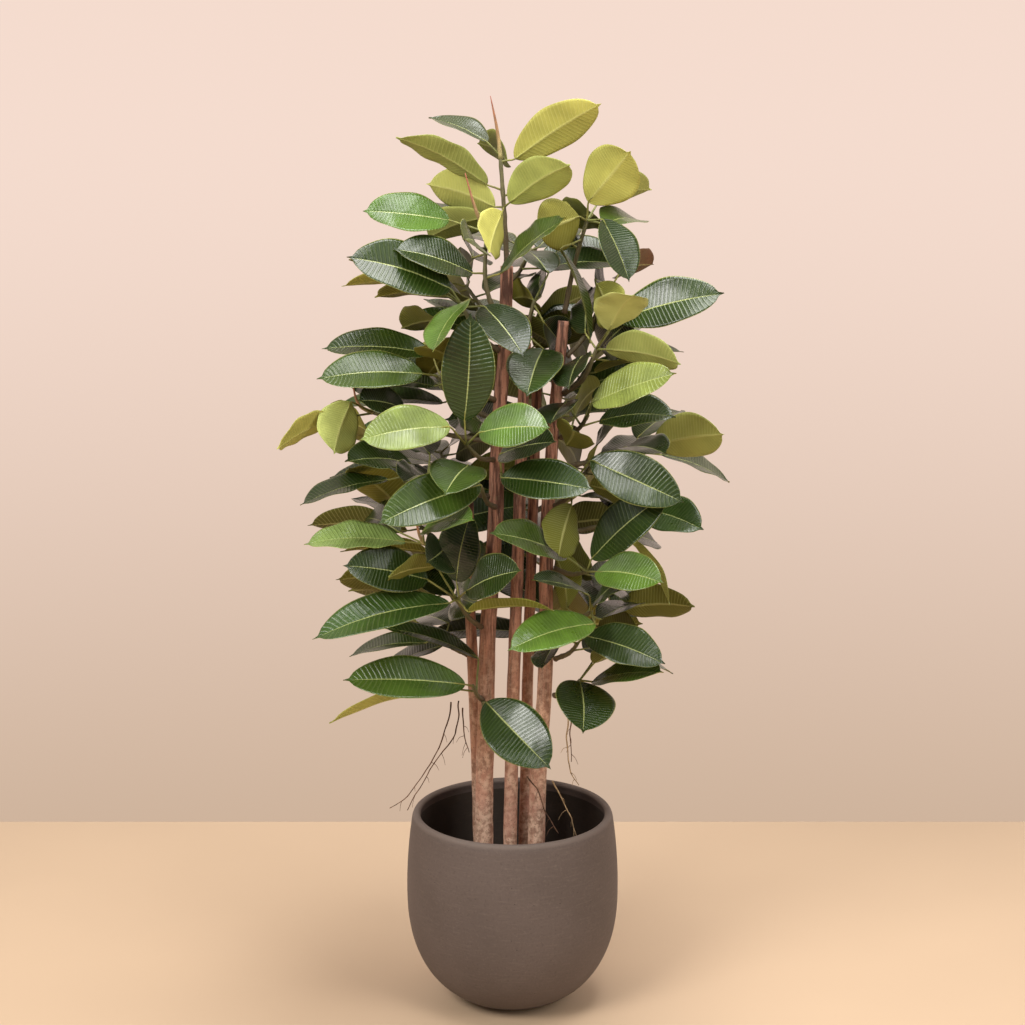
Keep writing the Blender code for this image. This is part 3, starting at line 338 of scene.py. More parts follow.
# ---------------------------------------------------------------- tubes
def smooth_path(points, steps):
    """Catmull-Rom points through the given ones, with steps per stretch."""
    points = [Vector(p) for p in points]
    padded = [2 * points[0] - points[1], *points, 2 * points[-1] - points[-2]]
    path = []
    for i in range(len(points) - 1):
        a, b, c, d = padded[i:i + 4]
        for k in range(steps):
            t = k / steps
            path.append(0.5 * (2 * b + (c - a) * t + (2 * a - 5 * b + 4 * c - d) * t ** 2
                               + (3 * b - a - 3 * c + d) * t ** 3))
    path.append(points[-1])
    return path


def tube_mesh(name, path, radii, bevel_resolution=1):
    """A closed tube along the path, as a mesh that a Boolean can take."""
    curve = bpy.data.curves.new(name + "_line", "CURVE")
    curve.dimensions = "3D"
    curve.bevel_depth = 1.0
    curve.bevel_resolution = bevel_resolution
    curve.use_fill_caps = True
    spline = curve.splines.new("POLY")
    spline.points.add(len(path) - 1)
    for point, place, radius in zip(spline.points, path, radii):
        point.co = (*place, 1)
        point.radius = radius
    line = bpy.data.objects.new(name + "_line", curve)
    bpy.context.scene.collection.objects.link(line)
    shape = line.evaluated_get(bpy.context.evaluated_depsgraph_get())
    mesh = bpy.data.meshes.new_from_object(shape)
    bpy.data.objects.remove(line, do_unlink=True)
    mesh.name = name
    weld = bmesh.new()
    weld.from_mesh(mesh)
    bmesh.ops.remove_doubles(weld, verts=weld.verts, dist=0.00001)
    bmesh.ops.recalc_face_normals(weld, faces=weld.faces)
    weld.to_mesh(mesh)
    weld.free()
    return mesh


def tapered(path, foot, top):
    return [foot + (top - foot) * k / (len(path) - 1) for k in range(len(path))]


# ---------------------------------------------------------------- planter
def bowl_radius(height):
    """The planter's outside radius: a bowl up to the belly, then an arc to the rim."""
    if height <= BELLY_HEIGHT:
        depth = (BELLY_HEIGHT - height) / BOWL_DEPTH
        return BELLY_RADIUS * (1 - depth ** BOWL_POWER) ** (1 / BOWL_POWER)
    rise = PLANTER_HEIGHT - BELLY_HEIGHT
    draw_in = BELLY_RADIUS - MOUTH_RADIUS
    arc = (rise ** 2 + draw_in ** 2) / (2 * draw_in)
    return BELLY_RADIUS - arc + math.sqrt(arc ** 2 - (height - BELLY_HEIGHT) ** 2)


def inner_radius(height):
    return max(bowl_radius(max(height, FLOOR_THICKNESS)) - WALL, 0.01)


# ---------------------------------------------------------------- leaves
class Leaf:
    """A blade on a stalk: where it starts, how it runs and which way it faces."""

    def __init__(self, root, base, tip, show, width, tone):
        self.root = Vector(root)
        self.base = Vector(base)
        self.along = (Vector(tip) - self.base).normalized()
        self.length = (Vector(tip) - self.base).length
        self.width = width
        self.tone = tone
        self.face = self.facing(show)

    def facing(self, show):
        """The upper face's direction: show of it to the front, and the rest upwards."""
        front = (FRONT - self.along * FRONT.dot(self.along)).normalized()
        other = self.along.cross(front)
        if other.z < 0:
            other = -other
        return (front * show + other * math.sqrt(1 - show ** 2)).normalized()

    def turned(self, yaw, pitch, roll):
        """The same leaf, turned about its root on the twig."""
        copy = object.__new__(Leaf)
        copy.__dict__.update(self.__dict__)
        side = self.along.cross(self.face)
        spin = (Matrix.Rotation(roll, 3, self.along) @ Matrix.Rotation(yaw, 3, self.face)
                @ Matrix.Rotation(pitch, 3, side))
        copy.base = self.root + spin @ (self.base - self.root)
        copy.along = spin @ self.along
        copy.face = spin @ self.face
        return copy

    def middle(self, t):
        """A point of the midrib, t from 0 at the blade's base to 1 at its tip."""
        arch = BLADE_ARCH * self.length * math.sin(math.pi * t)
        return self.base + self.along * self.length * t + self.face * arch


def blade_outline(t):
    """Half the blade's width at t, as a share of the largest."""
    return math.sin(math.pi * t ** 0.92) ** 0.5 if 0 < t < 1 else 0.0


BLADE_STATIONS = (0.07, 0.27, 0.62, 0.87)


def leaf_rings(leaf, swell=0.0, stalk_from=0.0):
    """Four-point sections from the stalk's foot to the blade's last station."""
    rings = []
    stalk = leaf.base - leaf.root
    thick = STALK_RADIUS + swell
    stalk_side = leaf.face.cross(stalk)
    if stalk_side.length < 1e-6:
        stalk_side = leaf.face.cross(leaf.along)
    stalk_side.normalize()
    stalk_up = stalk.cross(stalk_side).normalized()
    foot = leaf.root + stalk * stalk_from
    rings.append([foot - stalk_side * thick, foot + stalk_up * thick,
                  foot + stalk_side * thick, foot - stalk_up * thick])
    side = leaf.face.cross(leaf.along).normalized()
    rings.append([leaf.base - side * thick, leaf.base + leaf.face * thick,
                  leaf.base + side * thick, leaf.base - leaf.face * thick])
    half = LEAF_THICKNESS / 2 + swell
    for t in BLADE_STATIONS:
        middle = leaf.middle(t)
        reach = leaf.width / 2 * blade_outline(t) + swell
        lift = leaf.face * reach * EDGE_LIFT
        rings.append([middle - side * reach + lift, middle + leaf.face * half,
                      middle + side * reach + lift, middle - leaf.face * half])
    return rings


def leaf_faces(leaf, swell=0.0, stalk_from=0.0):
    """The leaf as points and triangles, a loft through its sections to the tip."""
    rings = leaf_rings(leaf, swell, stalk_from)
    points = [point for ring in rings for point in ring]
    points.append(leaf.middle(1.0) + leaf.along * swell)
    faces = [(0, 1, 2), (0, 2, 3)]
    for r in range(len(rings) - 1):
        low, high = 4 * r, 4 * r + 4
        for k in range(4):
            n = (k + 1) % 4
            faces.append((low + k, high + k, high + n))
            faces.append((low + k, high + n, low + n))
    last, tip = 4 * (len(rings) - 1), len(points) - 1
    for k in range(4):
        faces.append((last + k, tip, last + (k + 1) % 4))
    return points, faces


def nearest_on_path(path, place):
    best = None
    for a, b in zip(path, path[1:]):
        run = b - a
        t = min(max((place - a).dot(run) / run.length_squared, 0.0), 1.0)
        point = a + run * t
        distance = (point - place).length
        if best is None or distance < best[0]:
            best = (distance, point)
    return best[1]


def attach(path, base, tip):
    """A leaf's stalk root on the twig and its blade's base, with the stalk leading into the blade."""
    base, along = Vector(base), (Vector(tip) - Vector(base)).normalized()
    best = None
    for a, b in zip(path, path[1:]):
        for share in (0.1, 0.3, 0.5, 0.7, 0.9):
            place = a.lerp(b, share)
            stalk = base - place
            cost = stalk.length - 0.03 * stalk.normalized().dot(along)
            if best is None or cost < best[0]:
                best = (cost, place)
    root = best[1]
    lead = (base - root).dot(along)
    return root, base + along * max(STALK_LEAD - lead, 0)


# ---------------------------------------------------------------- settling
TURNS = [(0, 0, 0)]
for degrees in (4, 8, 12, 17, 23, 30, 38):
    size = math.radians(degrees)
    for roll in (0, 0.5, -0.5, 1, -1):
        for yaw, pitch in ((0, 0), (1, 0), (-1, 0), (0, 1), (0, -1),
                           (.7, .7), (-.7, .7), (.7, -.7), (-.7, -.7)):
            if yaw or pitch or roll:
                TURNS.append((yaw * size, pitch * size, roll * size))


class Crowd:
    """What already stands in the air, so that no leaf is laid through another."""

    def __init__(self):
        self.members = []

    def add(self, points, faces):
        low = Vector([min(p[k] for p in points) for k in range(3)])
        high = Vector([max(p[k] for p in points) for k in range(3)])
        self.members.append((low, high, BVHTree.FromPolygons(points, faces)))

    def add_mesh(self, mesh):
        self.add([v.co.copy() for v in mesh.vertices], [tuple(p.vertices) for p in mesh.polygons])

    def touches(self, points, faces):
        low = Vector([min(p[k] for p in points) for k in range(3)])
        high = Vector([max(p[k] for p in points) for k in range(3)])
        tree = None
        for other_low, other_high, other in self.members:
            if all(low[k] < other_high[k] and high[k] > other_low[k] for k in range(3)):
                tree = tree or BVHTree.FromPolygons(points, faces)
                if tree.overlap(other):
                    return True
        return False


def settle(leaf, crowd):
    """Turns the leaf about its root until it is free of its neighbours, by what shifts
    its tip least; shifts towards or away from the front count a third."""
    tip = leaf.middle(1)

    def shift(turn_by):
        moved = leaf.turned(*turn_by).middle(1) - tip
        return math.hypot(moved.x, moved.z) + abs(moved.y) / 3 + 0.03 * abs(turn_by[2])

    for turn_by in sorted(TURNS, key=shift):
        turned = leaf.turned(*turn_by)
        if not crowd.touches(*leaf_faces(turned, LEAF_CLEARANCE, 0.45)):
            crowd.add(*leaf_faces(turned))
            return turned
    return None


# ---------------------------------------------------------------- shoots
def stem_point(name, height):
    path = smooth_path(STEMS[name][0], 4)
    for a, b in zip(path, path[1:]):
        if a.z <= height <= b.z:
            return a.lerp(b, (height - a.z) / (b.z - a.z))
    return path[-1]


def back_shoot(stem, height, heading, reach, count, order):
    """The twig and leaves of one shoot behind the stems."""
    start = stem_point(stem, height)
    out = Vector((math.cos(math.radians(heading)), math.sin(math.radians(heading)), 0))
    tip = start + out * reach + UP * reach * 0.45
    bend = start + out * reach * 0.5 + UP * reach * 0.12
    leaves = []
    for k in range(count):
        share = (k + 1) / count
        node = bend.lerp(tip, share)
        swing = Matrix.Rotation(GOLDEN_ANGLE * (k + order * 0.37), 3, "Z") @ out
        way = (out * 0.45 + swing + UP * (0.45 * share - 0.15)).normalized()
        base = node + way * 0.035
        end = base + way * BACK_BLADE * (0.9 + 0.15 * math.sin(2.1 * k + order))
        tone = ("dark", "deep", "mid", "dark", "olive", "deep")[(k + order) % 6]
        share_shown = (0.75, -0.6, 0.5, 0.85, -0.7, 0.3)[(2 * k + order) % 6]
        leaves.append((*base, *end, share_shown, 0.088, tone))
    return [tuple(start), tuple(bend), tuple(tip)], leaves


def all_shoots():
    shoots = dict(SHOOTS)
    for order, (name, rule) in enumerate(BACK_SHOOTS.items()):
        shoots[name] = back_shoot(*rule, order)
    return shoots


def lay_out(shoots, twigs, stems):
    """The leaves of every shoot, settled clear of stems, twigs and each other."""
    crowd = Crowd()
    for mesh in (*stems.values(), *(mesh for mesh, _ in twigs.values())):
        crowd.add_mesh(mesh)
    thin = [(points, ROOT_RADIUS * 1.5) for points in AIR_ROOTS.values()]
    thin += [(points, BUD_RADIUS) for points in BUDS.values()]
    for points, radius in thin:
        path = smooth_path(points, 2)
        mesh = tube_mesh("guide", path, [radius] * len(path))
        crowd.add_mesh(mesh)
        bpy.data.meshes.remove(mesh)
    settled = {}
    for name, (_, rows) in shoots.items():
        settled[name] = []
        for row in rows:
            tip = row[3:6]
            root, base = attach(twigs[name][1], row[0:3], tip)
            leaf = settle(Leaf(root, base, tip, *row[6:]), crowd)
            if leaf:
                settled[name].append(leaf)
    return settled


# ---------------------------------------------------------------- colours (linear)
# tone: upper face, underside
TONES = {
    "dark": ((0.018, 0.041, 0.004), (0.150, 0.155, 0.024)),
    "deep": ((0.008, 0.021, 0.003), (0.080, 0.086, 0.012)),
    "mid": ((0.044, 0.088, 0.011), (0.210, 0.220, 0.035)),
    "bright": ((0.095, 0.190, 0.024), (0.340, 0.370, 0.065)),
    "young": ((0.290, 0.380, 0.090), (0.450, 0.450, 0.110)),
    "olive": ((0.034, 0.060, 0.010), (0.165, 0.165, 0.022)),
    "gold": ((0.085, 0.135, 0.018), (0.480, 0.500, 0.130)),
    "pale": ((0.330, 0.390, 0.110), (0.600, 0.610, 0.200)),
    "red": ((0.070, 0.048, 0.016), (0.170, 0.070, 0.038)),
}
STALK_GREEN = (0.300, 0.310, 0.070)
TWIG_BROWN = (0.110, 0.070, 0.035)
BUD_RED = (0.420, 0.095, 0.060)


# ---------------------------------------------------------------- node helpers
class Shader:
    """A short way to lay out the nodes of one material."""

    def __init__(self, name):
        self.material = bpy.data.materials.new(name)
        self.material.use_nodes = True
        self.nodes = self.material.node_tree.nodes
        self.links = self.material.node_tree.links
        self.surface = self.nodes["Principled BSDF"]

    def add(self, kind, **settings):
        node = self.nodes.new("ShaderNode" + kind)
        for key, value in settings.items():
            setattr(node, key, value)
        return node

    def put(self, value, socket):
        if isinstance(value, bpy.types.NodeSocket):
            self.links.new(value, socket)
        else:
            socket.default_value = value

    def math(self, operation, a, b=0.0, clamp=False):
        node = self.add("Math", operation=operation, use_clamp=clamp)
        self.put(a, node.inputs[0])
        self.put(b, node.inputs[1])
        return node.outputs[0]

    def mix(self, share, a, b, blend="MIX"):
        node = self.add("Mix", data_type="RGBA", blend_type=blend)
        self.put(share, node.inputs[0])
        for value, socket in ((a, node.inputs[6]), (b, node.inputs[7])):
            self.put((*value, 1) if isinstance(value, tuple) and len(value) == 3 else value, socket)
        return node.outputs[2]

    def attribute(self, name, output="Fac"):
        return self.add("Attribute", attribute_name=name).outputs[output]

    def place(self, scale=(1, 1, 1)):
        """Object coordinates in metres, stretched by scale."""
        mapping = self.add("Mapping")
        self.links.new(self.add("TexCoord").outputs["Object"], mapping.inputs[0])
        mapping.inputs["Scale"].default_value = scale
        return mapping.outputs[0]

    def noise(self, where, scale, detail=4.0, roughness=0.5):
        node = self.add("TexNoise")
        self.put(where, node.inputs["Vector"])
        node.inputs["Scale"].default_value = scale
        node.inputs["Detail"].default_value = detail
        node.inputs["Roughness"].default_value = roughness
        return node.outputs["Fac"]

    def cells(self, where, scale, feature="F1"):
        node = self.add("TexVoronoi", feature=feature)
        self.put(where, node.inputs["Vector"])
        node.inputs["Scale"].default_value = scale
        return node.outputs["Distance"]

    def between(self, value, low, high):
        """0 below low, 1 above high, smooth in between."""
        node = self.add("MapRange", interpolation_type="SMOOTHSTEP")
        self.put(value, node.inputs["Value"])
        node.inputs["From Min"].default_value = low
        node.inputs["From Max"].default_value = high
        return node.outputs["Result"]

    def scaled(self, value, low, high):
        """Maps 0..1 to low..high."""
        node = self.add("MapRange")
        self.put(value, node.inputs["Value"])
        node.inputs["To Min"].default_value = low
        node.inputs["To Max"].default_value = high
        return node.outputs["Result"]

    def bump(self, height, distance, strength=1.0):
        node = self.add("Bump")
        self.put(height, node.inputs["Height"])
        node.inputs["Distance"].default_value = distance
        node.inputs["Strength"].default_value = strength
        self.links.new(node.outputs[0], self.surface.inputs["Normal"])
        return node

    def finish(self, colour, roughness):
        self.put(colour, self.surface.inputs["Base Color"])
        self.put(roughness, self.surface.inputs["Roughness"])
        return self.material


# ---------------------------------------------------------------- materials
RIBS_ALONG = 26               # side ribs on each half of a blade


def blade_ribs(shader):
    """The side ribs: lines that run out from the midrib and a little towards the tip."""
    across = shader.attribute("across")
    along = shader.attribute("along")
    reach = shader.math("ABSOLUTE", across)
    slant = shader.math("SUBTRACT", along, shader.math("MULTIPLY", reach, 0.07))
    wave = shader.math("MULTIPLY", slant, RIBS_ALONG * math.tau)
    wobble = shader.math("MULTIPLY", shader.noise(shader.place(), 40.0, 2.0), 3.0)
    line = shader.math("COSINE", shader.math("ADD", wave, wobble))
    return shader.scaled(line, 0.5, 1.0), reach


def leaf_upper():
    shader = Shader("leaf_upper")
    ribs, reach = blade_ribs(shader)
    along = shader.attribute("along")
    where = shader.place()
    tone = shader.attribute("tone", "Color")
    blotch = shader.noise(where, 16.0, 3.0)
    darker = shader.mix(0.45, tone, (0.008, 0.016, 0.003))
    base = shader.mix(shader.between(blotch, 0.35, 0.65), darker, tone)
    lighter = shader.mix(0.30, tone, (0.300, 0.370, 0.110))
    rib_line = shader.math("MULTIPLY", shader.between(ribs, 0.86, 1.0), 0.35)
    base = shader.mix(rib_line, base, lighter)
    rib_width = shader.math("SUBTRACT", 0.060, shader.math("MULTIPLY", along, 0.035))
    midrib = shader.math("SUBTRACT", 1.0, shader.math("DIVIDE", reach, rib_width), clamp=True)
    base = shader.mix(shader.between(midrib, 0.15, 0.8), base,
                      shader.mix(0.60, lighter, (0.500, 0.540, 0.200)))
    margin = shader.between(reach, 0.955, 0.99)
    base = shader.mix(shader.math("MULTIPLY", margin, 0.6), base, (0.330, 0.340, 0.090))
    speck = shader.between(shader.noise(where, 260.0, 2.0), 0.62, 0.72)
    base = shader.mix(shader.math("MULTIPLY", speck, 0.12), base, (0.250, 0.280, 0.130))
    height = shader.math("ADD", shader.math("MULTIPLY", ribs, 0.7),
                         shader.math("MULTIPLY", shader.noise(where, 120.0, 3.0), 0.5))
    shader.bump(height, 0.0016, 0.85)
    shader.surface.inputs["Specular IOR Level"].default_value = 0.42
    shader.surface.inputs["Coat Weight"].default_value = 0.30
    shader.surface.inputs["Coat Roughness"].default_value = 0.20
    dull = shader.scaled(shader.noise(where, 30.0, 4.0), 0.22, 0.36)
    return shader.finish(base, dull)


def leaf_under():
    shader = Shader("leaf_under")
    ribs, reach = blade_ribs(shader)
    where = shader.place()
    tone = shader.attribute("tone_under", "Color")
    blotch = shader.noise(where, 14.0, 4.0)
    base = shader.mix(shader.between(blotch, 0.3, 0.7), shader.mix(0.35, tone, (0.070, 0.070, 0.010)), tone)
    pale = shader.mix(0.45, tone, (0.620, 0.600, 0.240))
    base = shader.mix(shader.math("MULTIPLY", shader.between(ribs, 0.80, 1.0), 0.40), base, pale)
    midrib = shader.between(reach, 0.085, 0.035)
    base = shader.mix(shader.math("MULTIPLY", midrib, 0.85), base, pale)
    height = shader.math("ADD", ribs, shader.math("MULTIPLY", shader.noise(where, 150.0, 3.0), 0.4))
    shader.bump(height, 0.0008, 0.6)
    shader.surface.inputs["Specular IOR Level"].default_value = 0.22
    dull = shader.scaled(shader.noise(where, 35.0, 3.0), 0.46, 0.62)
    return shader.finish(base, dull)


def twig_wood():
    """Green stalks, brown twigs and red buds, with the colour of each given on its points."""
    shader = Shader("twig_wood")
    where = shader.place((1, 1, 0.35))
    tone = shader.attribute("tone", "Color")
    grain = shader.noise(where, 180.0, 5.0, 0.6)
    base = shader.mix(shader.between(grain, 0.3, 0.7), shader.mix(0.5, tone, (0.040, 0.030, 0.015)), tone)
    speck = shader.between(shader.cells(shader.place(), 420.0), 0.22, 0.12)
    base = shader.mix(shader.math("MULTIPLY", speck, 0.35), base, (0.420, 0.380, 0.220))
    shader.bump(grain, 0.0006, 0.6)
    return shader.finish(base, shader.scaled(grain, 0.45, 0.75))


def bark():
    """Pale pink-tan, blotched and speckled at the foot; red-brown and fibrous above."""
    shader = Shader("bark")
    where = shader.place()
    height = shader.add("SeparateXYZ")
    shader.links.new(where, height.inputs[0])
    streak = shader.noise(shader.place((1, 1, 0.09)), 120.0, 6.0, 0.66)
    fibre = shader.noise(shader.place((1, 1, 0.05)), 330.0, 4.0, 0.6)
    broad = shader.noise(shader.place((1, 1, 0.45)), 30.0, 5.0, 0.6)
    blotch = shader.noise(where, 90.0, 5.0, 0.65)
    high = shader.between(height.outputs["Z"], 0.42, 0.86)
    tan = shader.mix(shader.between(blotch, 0.38, 0.62), (0.330, 0.175, 0.115), (0.700, 0.460, 0.330))
    tan = shader.mix(shader.math("MULTIPLY", shader.between(broad, 0.45, 0.62), 0.55), tan, (0.560, 0.260, 0.180))
    red = shader.mix(shader.between(streak, 0.38, 0.60), (0.090, 0.034, 0.020), (0.470, 0.215, 0.140))
    base = shader.mix(high, tan, red)
    flake = shader.between(fibre, 0.60, 0.68)
    base = shader.mix(shader.math("MULTIPLY", flake, 0.60), base, (0.640, 0.400, 0.280))
    crack = shader.between(shader.math("ADD", streak, shader.math("MULTIPLY", broad, 0.4)), 0.56, 0.48)
    base = shader.mix(shader.math("MULTIPLY", crack, 0.50), base, (0.110, 0.048, 0.030))
    speck = shader.between(shader.cells(shader.place((1, 1, 0.6)), 260.0), 0.26, 0.12)
    base = shader.mix(shader.math("MULTIPLY", speck, 0.60), base, (0.150, 0.072, 0.045))
    moss = shader.between(shader.noise(where, 70.0, 3.0), 0.62, 0.72)
    base = shader.mix(shader.math("MULTIPLY", moss, 0.20), base, (0.190, 0.180, 0.075))
    rough = shader.math("ADD", streak, shader.math("MULTIPLY", blotch, 0.7))
    shader.bump(rough, 0.0024, 0.8)
    return shader.finish(base, shader.scaled(blotch, 0.58, 0.88))


def planter_clay(name, light, dark, rim):
    """Fine-grained clay, faintly brushed round the planter, with a few pinholes."""
    shader = Shader(name)
    where = shader.place()
    cloud = shader.noise(where, 6.0, 5.0, 0.55)
    fine = shader.noise(where, 210.0, 5.0, 0.65)
    brushed = shader.noise(shader.place((1, 1, 9.0)), 34.0, 5.0, 0.6)
    base = shader.mix(shader.between(cloud, 0.32, 0.68), dark, light)
    base = shader.mix(shader.math("MULTIPLY", shader.between(brushed, 0.50, 0.72), 0.22), base, rim)
    base = shader.mix(shader.math("MULTIPLY", shader.between(fine, 0.54, 0.72), 0.30), base, rim)
    base = shader.mix(shader.math("MULTIPLY", shader.between(fine, 0.46, 0.30), 0.30), base,
                      (0.045, 0.034, 0.028))
    pit = shader.between(shader.cells(where, 84.0), 0.110, 0.060)
    keep = shader.between(shader.noise(where, 40.0, 2.0), 0.56, 0.60)
    pit = shader.math("MULTIPLY", pit, keep)
    base = shader.mix(shader.math("MULTIPLY", pit, 0.85), base, (0.020, 0.015, 0.012))
    height = shader.add("SeparateXYZ")
    shader.links.new(where, height.inputs[0])
    lip = shader.between(height.outputs["Z"], PLANTER_HEIGHT - 0.010, PLANTER_HEIGHT - 0.003)
    base = shader.mix(shader.math("MULTIPLY", lip, 0.60), base, rim)
    relief = shader.math("SUBTRACT", shader.math("ADD", shader.math("MULTIPLY", fine, 0.3),
                                                 shader.math("MULTIPLY", brushed, 0.25)), pit)
    shader.bump(relief, 0.0012, 0.6)
    return shader.finish(base, shader.scaled(cloud, 0.62, 0.80))


def potting_soil():
    shader = Shader("potting_soil")
    where = shader.place()
    crumbs = shader.cells(where, 140.0)
    cloud = shader.noise(where, 55.0, 6.0, 0.65)
    base = shader.mix(shader.between(cloud, 0.35, 0.65), (0.014, 0.009, 0.006), (0.070, 0.045, 0.028))
    fibre = shader.between(shader.noise(shader.place((1, 0.2, 1)), 210.0, 3.0), 0.64, 0.70)
    base = shader.mix(shader.math("MULTIPLY", fibre, 0.5), base, (0.180, 0.110, 0.060))
    perlite = shader.between(shader.cells(where, 62.0), 0.14, 0.09)
    base = shader.mix(shader.math("MULTIPLY", perlite, 0.7), base, (0.400, 0.380, 0.330))
    shader.bump(shader.math("ADD", crumbs, cloud), 0.004, 0.9)
    return shader.finish(base, 0.92)


def dry_root(name, light, dark):
    shader = Shader(name)
    grain = shader.noise(shader.place((1, 1, 0.3)), 240.0, 4.0, 0.6)
    shader.bump(grain, 0.0006, 0.7)
    return shader.finish(shader.mix(shader.between(grain, 0.35, 0.65), dark, light), 0.8)


def studio_paint(name, colour, roughness):
    """A plain floor with a breath of unevenness."""
    shader = Shader(name)
    worn = shader.mix(0.06, colour, (0.20, 0.14, 0.10))
    cloud = shader.noise(shader.place(), 1.3, 3.0)
    return shader.finish(shader.mix(shader.between(cloud, 0.3, 0.7), worn, colour), roughness)


# ---------------------------------------------------------------- leaf meshes
COLUMNS = (-1.0, -0.86, -0.68, -0.48, -0.28, -0.12, -0.045, 0.0,
           0.045, 0.12, 0.28, 0.48, 0.68, 0.86, 1.0)
ROWS = 24
BLADE_THICKNESS = 0.0008
OBLONG_SHARE = 0.955           # the rest of a blade is its drip tip
DRIP_WIDTH = 0.075             # of the tip where it leaves the blade, in blade widths
MIDRIB_DEPTH = 0.0012


def blade_edge(t):
    """Half the blade's width at t: a rounded oblong with a short narrow drip tip."""
    along = min(max(t / OBLONG_SHARE, 0.0), 1.0)
    body = max(math.sin(math.pi * along ** 1.04), 0.0) ** 0.54
    drip = DRIP_WIDTH * max(0.0, 1 - t) / (1 - OBLONG_SHARE)
    return max(body, min(drip, DRIP_WIDTH * 1.6) if t > 0.5 else 0.0)


def blade_row(k):
    """Row places from the base to the tip, closer together at both ends."""
    share = k / ROWS
    return 0.5 - 0.5 * math.cos(math.pi * share) * (0.75 + 0.25 * abs(math.cos(math.pi * share)))


class Sheet:
    """Points, faces and per-point facts of one mesh that is built up leaf by leaf."""

    def __init__(self):
        self.points, self.faces, self.slots = [], [], []
        self.facts = {"across": [], "along": [], "tone": [], "tone_under": []}

    def point(self, place, across=0.0, along=0.0, tone=(0, 0, 0), under=(0, 0, 0)):
        self.points.append(place)
        for key, value in zip(self.facts, (across, along, tone, under)):
            self.facts[key].append(value)
        return len(self.points) - 1

    def face(self, corners, slot=0):
        self.faces.append(corners)
        self.slots.append(slot)

    def build(self, name, materials):
        mesh = bpy.data.meshes.new(name)
        mesh.from_pydata(self.points, [], self.faces)
        for material in materials:
            mesh.materials.append(material)
        mesh.polygons.foreach_set("material_index", self.slots)
        for key, values in self.facts.items():
            if isinstance(values[0], tuple):
                layer = mesh.color_attributes.new(key, "FLOAT_COLOR", "POINT")
                layer.data.foreach_set("color", [c for v in values for c in (*v, 1.0)])
            else:
                layer = mesh.attributes.new(key, "FLOAT", "POINT")
                layer.data.foreach_set("value", values)
        mesh.shade_smooth()
        piece = bpy.data.objects.new(name, mesh)
        bpy.context.scene.collection.objects.link(piece)
        return piece


def add_blade(sheet, leaf, chance):
    """A thin curved blade with wavy edges, a grooved midrib above and a raised one below."""
    upper, under = (vary(colour, chance) for colour in TONES[leaf.tone])
    side = leaf.face.cross(leaf.along).normalized()
    wave_count = chance.uniform(1.6, 3.2)
    phase = chance.uniform(0, math.tau)
    wave = chance.uniform(0.0008, 0.0024)
    droop = chance.uniform(0.00, 0.03) * leaf.length
    curl = chance.uniform(-0.06, 0.10)
    bend = chance.uniform(-0.02, 0.02) * leaf.length
    tops, unders = [], []
    for k in range(ROWS + 1):
        t = blade_row(k)
        middle = leaf.middle(t) - leaf.face * droop * t ** 3 + side * bend * math.sin(math.pi * t)
        reach = leaf.width / 2 * max(blade_edge(t), 0.012)
        top_row, under_row = [], []
        for s in COLUMNS:
            lift = EDGE_LIFT * abs(s) ** 1.12 + curl * s * abs(s) * math.sin(math.pi * t)
            ripple = wave * s * s * math.sin(math.tau * wave_count * t + phase + (1.3 if s > 0 else 0))
            quilt = 0.0004 * math.sin(math.tau * 13 * (t - 0.07 * abs(s))) * (1 - abs(s)) * (s != 0)
            place = middle + side * reach * s + leaf.face * (lift * reach + ripple + quilt)
            groove = MIDRIB_DEPTH * 0.35 if s == 0 else 0.0
            rib = MIDRIB_DEPTH * (1 - 0.7 * t) * max(0.0, 1 - abs(s) / 0.12)
            thin = BLADE_THICKNESS * (0.35 if abs(s) == 1 else 1.0)
            facts = (s, t, upper, under)
            top_row.append(sheet.point(place - leaf.face * groove, *facts))
            under_row.append(sheet.point(place - leaf.face * (thin + rib), *facts))
        tops.append(top_row)
        unders.append(under_row)
    last = len(COLUMNS) - 1
    for k in range(ROWS):
        for c in range(last):
            sheet.face((tops[k][c], tops[k + 1][c], tops[k + 1][c + 1], tops[k][c + 1]), 0)
            sheet.face((unders[k][c + 1], unders[k + 1][c + 1], unders[k + 1][c], unders[k][c]), 1)
        sheet.face((unders[k][0], unders[k + 1][0], tops[k + 1][0], tops[k][0]), 1)
        sheet.face((tops[k][last], tops[k + 1][last], unders[k + 1][last], unders[k][last]), 1)
    sheet.face([*tops[0], *reversed(unders[0])], 1)
    sheet.face([*unders[ROWS], *reversed(tops[ROWS])], 1)


def vary(colour, chance):
    """A little lighter or darker, and a little yellower or bluer."""
    light = chance.uniform(0.82, 1.20)
    warm = chance.uniform(0.90, 1.12)
    return (colour[0] * light * warm, colour[1] * light, colour[2] * light / warm)


